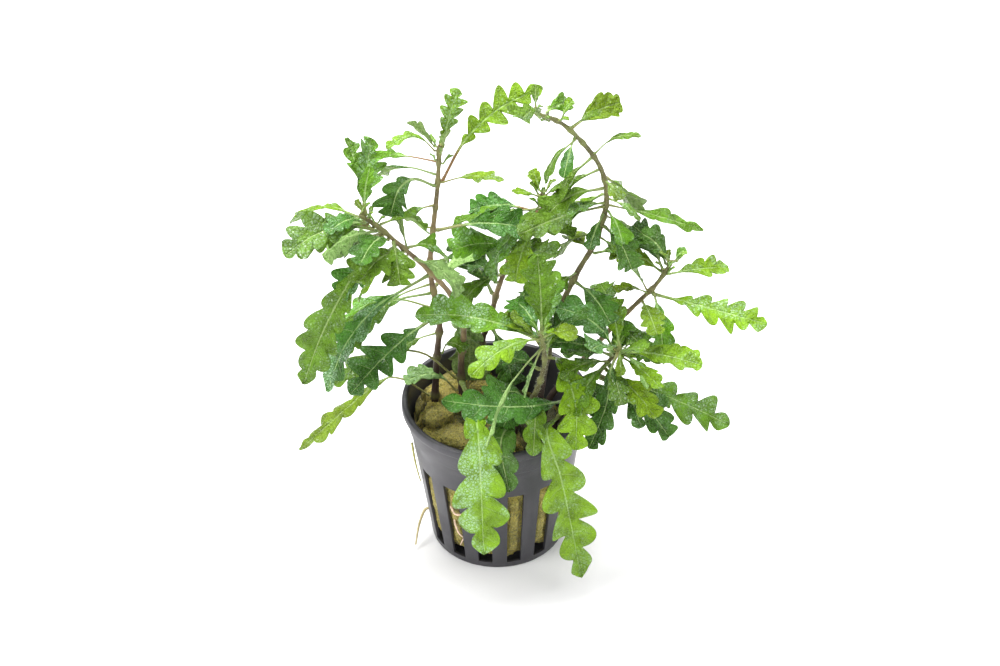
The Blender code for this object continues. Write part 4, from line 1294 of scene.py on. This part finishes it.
def wool_surface(turn, up, wool):
    """A point on the plug: its turn, and how far up it is, with the shoulder at 1 and the middle at 2."""
    top = POT_TOP - WOOL_DEPTH
    foot = WOOL_BOX[0].z
    pot = bpy.context.scene.hygrophila_pot
    if up <= 1:
        side = wool_radius()
        z = foot + (top - hollow_depth(side * math.cos(turn), side * math.sin(turn)) - foot) * up
        radius = wall_radius(z) - pot.wall - CLEARANCE
        flat = Vector((radius * math.cos(turn), radius * math.sin(turn), z))
        tear = 0.5 + 0.5 * torn(flat, 260)
        crack = max(0.0, torn(flat, 90, 7)) * 1.2
        ragged = (1 - min(1.0, up / 0.1)) * (1.6 + 2.2 * torn(flat, 110, 3)) * MM
        sector = math.tau / pot.slot_count
        off_slot = abs((turn - math.radians(SLOT_TURN) + sector / 2) % sector - sector / 2) * radius
        beside = 1 - ease(0.9 * MM, 1.8 * MM, off_slot)
        in_slot = beside * ease(5 * MM, 8 * MM, z) * (1 - ease(27 * MM, 29 * MM, z))
        radius += float(in_slot) * wool.bulge
        radius -= wool.plug_lump * (0.15 + 0.8 * tear + crack + 0.3 * torn(flat, 900, 5)) + max(0.0, ragged)
        z += (1 - min(1.0, up / 0.06)) * (1.8 + 1.6 * torn(flat, 120, 11)) * MM
        return Vector((radius * math.cos(turn), radius * math.sin(turn), z))
    inward = 2 - up
    radius = (wool_radius() - wool.plug_lump * 0.8) * inward
    flat = Vector((radius * math.cos(turn), radius * math.sin(turn), top))
    warp = Vector((torn(flat, 130, 3), torn(flat, 130, 31), 0)) * 0.16
    near, cells = noise.voronoi(flat * CHUNKS_PER_METRE + warp)
    crack = 3.4 * float(1 - ease(0.03, 0.2, near[1] - near[0]))
    lump = 1.3 * noise.cell(cells[0] * 9) + 0.5 * torn(flat, 75, 5) + 0.3 * torn(flat, 300, 2)
    edge = -1.6 * max(0.0, inward - 0.93) / 0.07
    lump += 0.5 * torn(flat, 700, 8)
    return Vector((flat.x, flat.y, top - hollow_depth(flat.x, flat.y) + (lump - crack + edge) * MM))


class HYGROPHILA_OT_wool(bpy.types.Operator):
    """Tears the rock wool: the plug, the lumps on top and the loose fibres"""

    bl_idname = "hygrophila.wool"
    bl_label = "Rock Wool"

    TUFTS = (
        # name, x and y as shares of the wool's radius, width, length and height in mm, turn in degrees
        ("wool_tuft_left", -0.70, -0.12, 9, 7, 2.6, 40),
        ("wool_tuft_front", -0.40, -0.58, 12, 9, 3.0, -20),
    )

    def plug(self, wool):
        """The body of the wool, with painted shade where its torn top sinks into the hollow."""
        around, side_rows, top_rows = 320, 90, 80
        points = []
        for i in range(side_rows + top_rows):
            up = i / side_rows if i <= side_rows else 1 + (i - side_rows) / top_rows
            points.extend(wool_surface(math.tau * k / around, up, wool) for k in range(around))
        faces = ring_faces(side_rows + top_rows, around)
        # Painted shade on the top, deeper the further it has sunk below the wool's top; none on the sides.
        sunk = POT_TOP - WOOL_DEPTH - np.array([p.z for p in points])
        hollow_shade = ease(0.8 * MM, 4.5 * MM, sunk)
        hollow_shade[: side_rows * around] = 0.0
        add_piece("rock_wool_plug", points, faces, wool_material(), "wool", ["rock_wool"], {"wool_damp": hollow_shade})

    def tuft(self, name, x, y, width, length_mm, height, turn):
        """A torn lump that lies on the plug."""
        builder = bmesh.new()
        bmesh.ops.create_icosphere(builder, subdivisions=5, radius=1.0)
        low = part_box(name)[0].z
        turned = Matrix.Rotation(math.radians(turn), 3, "Z")
        for vert in builder.verts:
            lump = 1 + 0.12 * math.sin(3 * vert.co.x + 5 * vert.co.y) * math.cos(4 * vert.co.y - vert.co.x)
            rag = 1 + 0.12 * torn(vert.co, 2.2, len(name)) + 0.07 * torn(vert.co, 8, 4)
            flat = Vector((vert.co.x * width / 2 * lump * rag, vert.co.y * length_mm / 2 * lump * rag, 0))
            rise = (max(vert.co.z, 0.0) ** 0.4 * height + 0.25 * torn(vert.co, 5, 7)) * rag
            rise -= 0.4 * (vert.co.z < 0)
            place = turned @ flat * MM
            vert.co = Vector((x * wool_radius() + place.x, y * wool_radius() + place.y, low + rise * MM))
        points = [v.co.copy() for v in builder.verts]
        faces = [[v.index for v in f.verts] for f in builder.faces]
        builder.free()
        add_piece(f"{name}_torn", points, faces, wool_material(), "wool", [name])

    def fibres(self, wool):
        """Short threads that lie on the plug, save in its hollow."""
        steps, rings, around = 7, 9, 3
        dice = random.Random(41)
        points, faces = [], []
        for _ in range(wool.fibres):
            turn = dice.uniform(0, math.tau)
            up = dice.uniform(0.06, 0.98) if dice.random() < 0.6 else 2 - math.sqrt(dice.uniform(0.01, 0.9))
            heading = dice.uniform(0, math.tau)
            line = []
            for _step in range(steps):
                line.append(wool_surface(turn, up, wool))
                heading += dice.uniform(-0.7, 0.7)
                turn += 0.035 * math.cos(heading)
                up = up + 0.018 * math.sin(heading)
                up = min(up, 0.99) if up < 1 else max(up, 1.02)
            middle = sum(line, Vector()) / len(line)
            if up > 1 and middle.z < POT_TOP - WOOL_DEPTH - 2 * MM:
                continue
            out = Vector((middle.x, middle.y, 0)).normalized() if up < 1 else Vector((0, 0, 1))
            lift = 0.35 * MM if up > 1 else 0.12 * MM
            line = [p + out * lift * math.sin(math.pi * i / (steps - 1)) for i, p in enumerate(line)]
            route = Route(line)
            shares = np.linspace(0, 1, rings)
            radii = wool.fibre_radius * (1 - 0.5 * shares)
            faces.extend(ring_faces(rings, around, len(points)))
            points.extend(tube_points(route.points(shares), route.tangents(shares), radii, around))
        add_piece("wool_fibres", points, faces, fibre_material(), "wool")

    def execute(self, context):
        wool = context.scene.hygrophila_wool
        self.plug(wool)
        for tuft in self.TUFTS:
            self.tuft(*tuft)
        self.fibres(wool)
        return {"FINISHED"}


class HYGROPHILA_OT_stems(bpy.types.Operator):
    """Grows the stems with their knots, bark and hairs"""

    bl_idname = "hygrophila.stems"
    bl_label = "Stems"

    AROUND = 16
    RING_GAP = 0.6 * MM
    KNOT_REACH = 1.1 * MM  # of the swelling to each side of a knot
    HAIR_WIDTH = 0.035 * MM
    # How far up each stem its old bark reaches, and how green it is.
    OLD = {"tall": 0.2, "leaning": 0.08, "back": 0.15, "arching": 0.12, "right": 0.2, "low": 0.2, "front": 0.1}
    GREEN = {"tall": 0.15, "leaning": 0.2, "back": 0.25, "arching": 0.75, "right": 0.35, "low": 0.5, "front": 0.9}

    def execute(self, context):
        for name in ROUTES:
            self.grow(name, context.scene.hygrophila_stems)
        return {"FINISHED"}

    def grow(self, name, stems):
        dice = random.Random(f"stem {name}")
        route = stem_route(name)
        shares = np.linspace(0, 1, int(route.length / self.RING_GAP) + 2)
        leafy = {leaf.at for leaf in (*LEAVES, *TRAILERS) if leaf.stem == name}
        knots = sorted(leafy | set(BARE_KNOTS[name]))
        gap = np.min(np.abs(shares[:, None] - np.array(knots)), axis=1) * route.length
        knot = np.exp(-((gap / self.KNOT_REACH) ** 2))
        ripple = 0.05 * np.sin(shares * 90 + dice.random() * 6) + 0.03 * np.sin(shares * 210)
        radii = stem_radius(shares) * (0.92 + stems.swell * knot + ripple)
        radii[-1] *= 0.4
        radii[-2] *= 0.8
        centres = route.points(shares)
        tangents = route.tangents(shares)
        points = tube_points(centres, tangents, radii, self.AROUND)
        faces = ring_faces(len(shares), self.AROUND)
        above = 1 - SOCKET_DEPTH / route.length
        free = (shares - (1 - above)) / above  # 0 where the stem leaves the wool
        age = 1 - ease(self.OLD[name] * 0.4, self.OLD[name] * 2.2 + 0.1, free)
        green = np.clip(self.GREEN[name] + 0.6 * ease(0.6, 1.0, free), 0, 1)
        values = {"stem_age": age, "stem_green": green, "stem_knot": knot, "stem_hair": 0 * knot}
        start = len(points)
        for i in range(HAIRY[name]):
            points.extend(self.hair(dice, centres, tangents, radii, stems))
            a = start + 4 * i
            faces.extend([(a, a + 1, a + 3), (a + 1, a + 2, a + 3), (a + 2, a, a + 3), (a, a + 2, a + 1)])
        on_hair = {"stem_age": 0.0, "stem_green": 1.0, "stem_knot": 0.0, "stem_hair": 1.0}
        for key, value in on_hair.items():
            on_stem = np.repeat(values[key], self.AROUND)
            values[key] = np.concatenate([on_stem, np.full(4 * HAIRY[name], value)])
        solids = [f"{name}_stem"]
        piece = add_piece(f"{name}_stem_bark", points, faces, bark_material(), "bark", solids, values)
        check_place(piece, f"{name}_stem")

    def hair(self, dice, centres, tangents, radii, stems):
        """The four corners of one hair, its tip last."""
        at = dice.uniform(0.25, 1)
        spin = dice.uniform(0, math.tau)
        index = min(int(at * (len(centres) - 1)), len(centres) - 2)
        along = Vector(tangents[index])
        side = along.orthogonal().normalized()
        out = math.cos(spin) * side + math.sin(spin) * along.cross(side)
        root = Vector(centres[index]) + out * radii[index] * 0.9
        way = (out + along * dice.uniform(-0.5, 0.7)).normalized()
        tip = root + way * stems.hair_length * dice.uniform(0.4, 1)
        wide, deep = along.cross(out) * self.HAIR_WIDTH, along * self.HAIR_WIDTH
        return root + wide, root - wide + deep, root - wide - deep, tip


class HYGROPHILA_OT_leaves(bpy.types.Operator):
    """Grows the large leaves, with lobes, midribs, puckered blades and stalks"""

    bl_idname = "hygrophila.leaves"
    bl_label = "Large Leaves"

    def execute(self, context):
        routes = {name: stem_route(name) for name in ROUTES}
        for leaf in LEAVES:
            self.grow(leaf, *free_leaf_points(leaf, routes[leaf.stem]))
        for trailer in TRAILERS:
            self.grow(trailer, *trailer_points(trailer, routes[trailer.stem]))
        return {"FINISHED"}

    def grow(self, leaf, centre, points):
        points, faces, values = leaf_mesh(leaf, centre, points)
        material, slot = leaf_material(leaf.tone), f"{leaf.tone}_leaf"
        piece = add_piece(f"{leaf.name}_blade", points, faces, material, slot, [leaf.name], values)
        check_place(piece, leaf.name)


class HYGROPHILA_OT_small_leaves(bpy.types.Operator):
    """Grows the small leaves and buds at the knots"""

    bl_idname = "hygrophila.small_leaves"
    bl_label = "Small Leaves"

    def buds(self, stem):
        """The rosette of tiny leaves that closes a stem."""
        dice = random.Random(f"buds {stem}")
        for i in range(6):
            turn = i * 2.4 + dice.uniform(0, 0.6)
            size = dice.uniform(2.2, 4.5)
            spread = size * dice.uniform(0.5, 0.9)
            reach = (spread * math.cos(turn), spread * math.sin(turn), BUD_RISE[stem] * size)
            tone = dice.choice(("young", "young", "mid"))
            yield Leaf(f"{stem}_bud_{i}", stem, 1 - 0.012 * i, reach, 0.4, 0.5 * size, tone, 3, 0.25, 0.08)

    def execute(self, context):
        routes = {name: stem_route(name) for name in ROUTES}
        groups = {}
        buds = [bud for stem in ROUTES for bud in self.buds(stem)]
        for leaf in (*SMALL_LEAVES, *buds):
            mesh = leaf_mesh(leaf, *free_leaf_points(leaf, routes[leaf.stem]))
            groups.setdefault((leaf.stem, leaf.tone), []).append(mesh)
        for (stem, tone), meshes in groups.items():
            points, faces, values = join_meshes(meshes)
            material = leaf_material(tone)
            add_piece(f"{stem}_{tone}_leaflets", points, faces, material, f"{tone}_leaf", (), values)
        return {"FINISHED"}


class HYGROPHILA_OT_roots(bpy.types.Operator):
    """Lays the roots that have grown out through the slots"""

    bl_idname = "hygrophila.roots"
    bl_label = "Roots"

    # Each root: radius in mm, then points as (degrees, mm outside the wall, mm above the ground).
    ROOTS = (
        (
            0.45,
            ((-129, -1.3, 22.5), (-126, -0.2, 22.6), (-122, 0.5, 21.6), (-117, 0.1, 22.0), (-114, -1.0, 21.2)),
        ),
        (0.36, ((-127, -1.0, 17.0), (-124, 0.1, 15.5), (-121, 0.2, 12.5), (-116, -0.9, 10.0))),
        (0.25, ((-118, -1.0, 12.0), (-121, -0.3, 9.0), (-124, -0.6, 6.5))),
        (0.4, ((-168, 0.6, 37.0), (-166, 0.9, 32.0), (-164, 0.9, 27.0), (-162, 0.7, 23.5))),
    )

    GREEN_SIDE = -150  # degrees, beyond which a root is green
    RINGS, AROUND = 40, 10
    STRAND_RADIUS = 0.5 * MM
    STRAND_HEIGHT = 9 * MM  # where the long strand leaves its slot
    # The long strand's points past its slot: mm outside the wall, mm towards the front, mm down.
    STRAND = ((-0.7, 0, 0), (1.2, 0.5, 0.5), (3.0, 4, 3.5), (4.0, 8, 7.5))

    def tube(self, points, radius):
        route = Route(points)
        shares = np.linspace(0, 1, self.RINGS)
        dice = random.Random(round(radius * 1e7))
        radii = radius * (1 - 0.55 * shares) * (1 + 0.1 * np.sin(shares * 40 + dice.random() * 6))
        radii[-1] *= 0.3
        return tube_points(route.points(shares), route.tangents(shares), radii, self.AROUND)

    def execute(self, context):
        material = root_material()
        turn = math.radians(SLOT_TURN) - 4 * math.tau / context.scene.hygrophila_pot.slot_count
        outward = Vector((math.cos(turn), math.sin(turn), 0))
        face = wall_radius(self.STRAND_HEIGHT)
        strand = []
        for out, front, down in self.STRAND:
            across = Vector((0, -front * MM, self.STRAND_HEIGHT - down * MM))
            strand.append(outward * (face + out * MM) + across)
        points, faces = self.tube(strand, self.STRAND_RADIUS), ring_faces(self.RINGS, self.AROUND)
        values = {"root_green": np.full(len(points), 0.6)}
        piece = add_piece("root_strand_skin", points, faces, material, "root", ["root_strand"], values)
        check_place(piece, "root_strand")
        points, faces, green = [], [], []
        for radius, places in self.ROOTS:
            green.extend([float(places[0][0] < self.GREEN_SIDE)] * (self.RINGS * self.AROUND))
            line = []
            for degrees, out, up in places:
                angle = math.radians(degrees)
                reach = wall_radius(up * MM) + out * MM
                line.append(Vector((reach * math.cos(angle), reach * math.sin(angle), up * MM)))
            faces.extend(ring_faces(self.RINGS, self.AROUND, len(points)))
            points.extend(self.tube(line, radius * MM))
        add_piece("slot_roots", points, faces, material, "root", (), {"root_green": green})
        return {"FINISHED"}


class HYGROPHILA_OT_stage(bpy.types.Operator):
    """Sets the camera, the soft lights and the floor"""

    bl_idname = "hygrophila.stage"
    bl_label = "Stage"

    LOOK_AT = Vector((1.6, 0, 73.1)) * MM
    FLOOR_REACH = 4.0  # metres from the middle to an edge
    # name, place in metres from the plant's middle, width and height in metres, watts
    LIGHTS = (
        ("overhead softbox", (-0.1, 0.3, 1.0), (0.9, 0.7), 26.0),
        ("left softbox", (-0.9, -0.5, 0.55), (0.6, 0.7), 9.0),
        ("right softbox", (0.9, -0.35, 0.6), (0.7, 0.9), 6.0),
        ("front softbox", (0.0, -1.1, 0.5), (1.0, 0.6), 4.0),
    )

    def execute(self, context):
        stage = context.scene.hygrophila_stage
        scene = context.scene
        middle = self.LOOK_AT
        look = Vector((0, math.cos(stage.pitch), -math.sin(stage.pitch)))
        right = Vector((1, 0, 0))
        up = right.cross(look)
        lean_right = right * math.cos(stage.roll) + up * math.sin(stage.roll)
        lean_up = -right * math.sin(stage.roll) + up * math.cos(stage.roll)
        camera = bpy.data.cameras.new("camera")
        camera.lens = stage.lens
        camera.sensor_width = 36.0
        camera.clip_start = 0.01
        holder = new_object("camera", camera)
        turn = Matrix((lean_right, lean_up, -look)).transposed().to_4x4()
        holder.matrix_world = Matrix.Translation(middle - look * stage.distance) @ turn
        scene.camera = holder
        for name, place, size, power in self.LIGHTS:
            lamp = bpy.data.lights.new(name, "AREA")
            lamp.shape = "RECTANGLE"
            lamp.size, lamp.size_y = size
            lamp.energy = power
            lamp.color = (1.0, 0.99, 0.98)
            light = new_object(name, lamp)
            light.location = middle + Vector(place)
            light.rotation_euler = (-Vector(place)).to_track_quat("-Z", "Y").to_euler()
        world = bpy.data.worlds.new("studio")
        world.use_nodes = True
        sky = world.node_tree.nodes["Background"].inputs
        sky["Color"].default_value = opaque(stage.sky)
        sky["Strength"].default_value = 0.4
        scene.world = world
        scene.view_settings.view_transform = "Standard"
        scene.view_settings.look = "None"
        builder = bmesh.new()
        bmesh.ops.create_grid(builder, x_segments=8, y_segments=8, size=self.FLOOR_REACH)
        mesh = bpy.data.meshes.new("floor")
        fill_mesh(mesh, builder)
        mesh.materials.append(floor_material())
        floor = new_object("floor", mesh)
        floor.location.z = CAD_BOX[0].z
        return {"FINISHED"}


# ---------------------------------------------------------------- panel and registration

SETTINGS = (
    ("hygrophila_pot", PotSettings, "Net pot"),
    ("hygrophila_wool", WoolSettings, "Rock wool"),
    ("hygrophila_stems", StemSettings, "Stems and roots"),
    ("hygrophila_leaves", LeafSettings, "Leaves"),
    ("hygrophila_stage", StageSettings, "Stage"),
)
OPERATORS = (
    HYGROPHILA_OT_pot,
    HYGROPHILA_OT_wool,
    HYGROPHILA_OT_stems,
    HYGROPHILA_OT_leaves,
    HYGROPHILA_OT_small_leaves,
    HYGROPHILA_OT_roots,
    HYGROPHILA_OT_stage,
)


class HYGROPHILA_PT_panel(bpy.types.Panel):
    """Settings and steps of the potted hygrophila"""

    bl_label = "Potted Hygrophila"
    bl_idname = "HYGROPHILA_PT_panel"
    bl_space_type = "VIEW_3D"
    bl_region_type = "UI"
    bl_category = "Hygrophila"

    def draw(self, context):
        for holder, kind, title in SETTINGS:
            box = self.layout.box()
            box.label(text=title)
            for name in kind.__annotations__:
                box.prop(getattr(context.scene, holder), name)
        for operator in OPERATORS:
            self.layout.operator(operator.bl_idname)


def register():
    for holder, kind, _title in SETTINGS:
        bpy.utils.register_class(kind)
        setattr(bpy.types.Scene, holder, PointerProperty(type=kind))
    for kind in (*OPERATORS, HYGROPHILA_PT_panel):
        bpy.utils.register_class(kind)


def unregister():
    for kind in (HYGROPHILA_PT_panel, *reversed(OPERATORS)):
        bpy.utils.unregister_class(kind)
    for holder, kind, _title in reversed(SETTINGS):
        delattr(bpy.types.Scene, holder)
        bpy.utils.unregister_class(kind)


def main():
    register()
    steps = bpy.ops.hygrophila
    steps.pot()
    steps.wool()
    steps.stems()
    steps.leaves()
    steps.small_leaves()
    steps.roots()
    steps.stage()


if __name__ == "__main__":
    main()
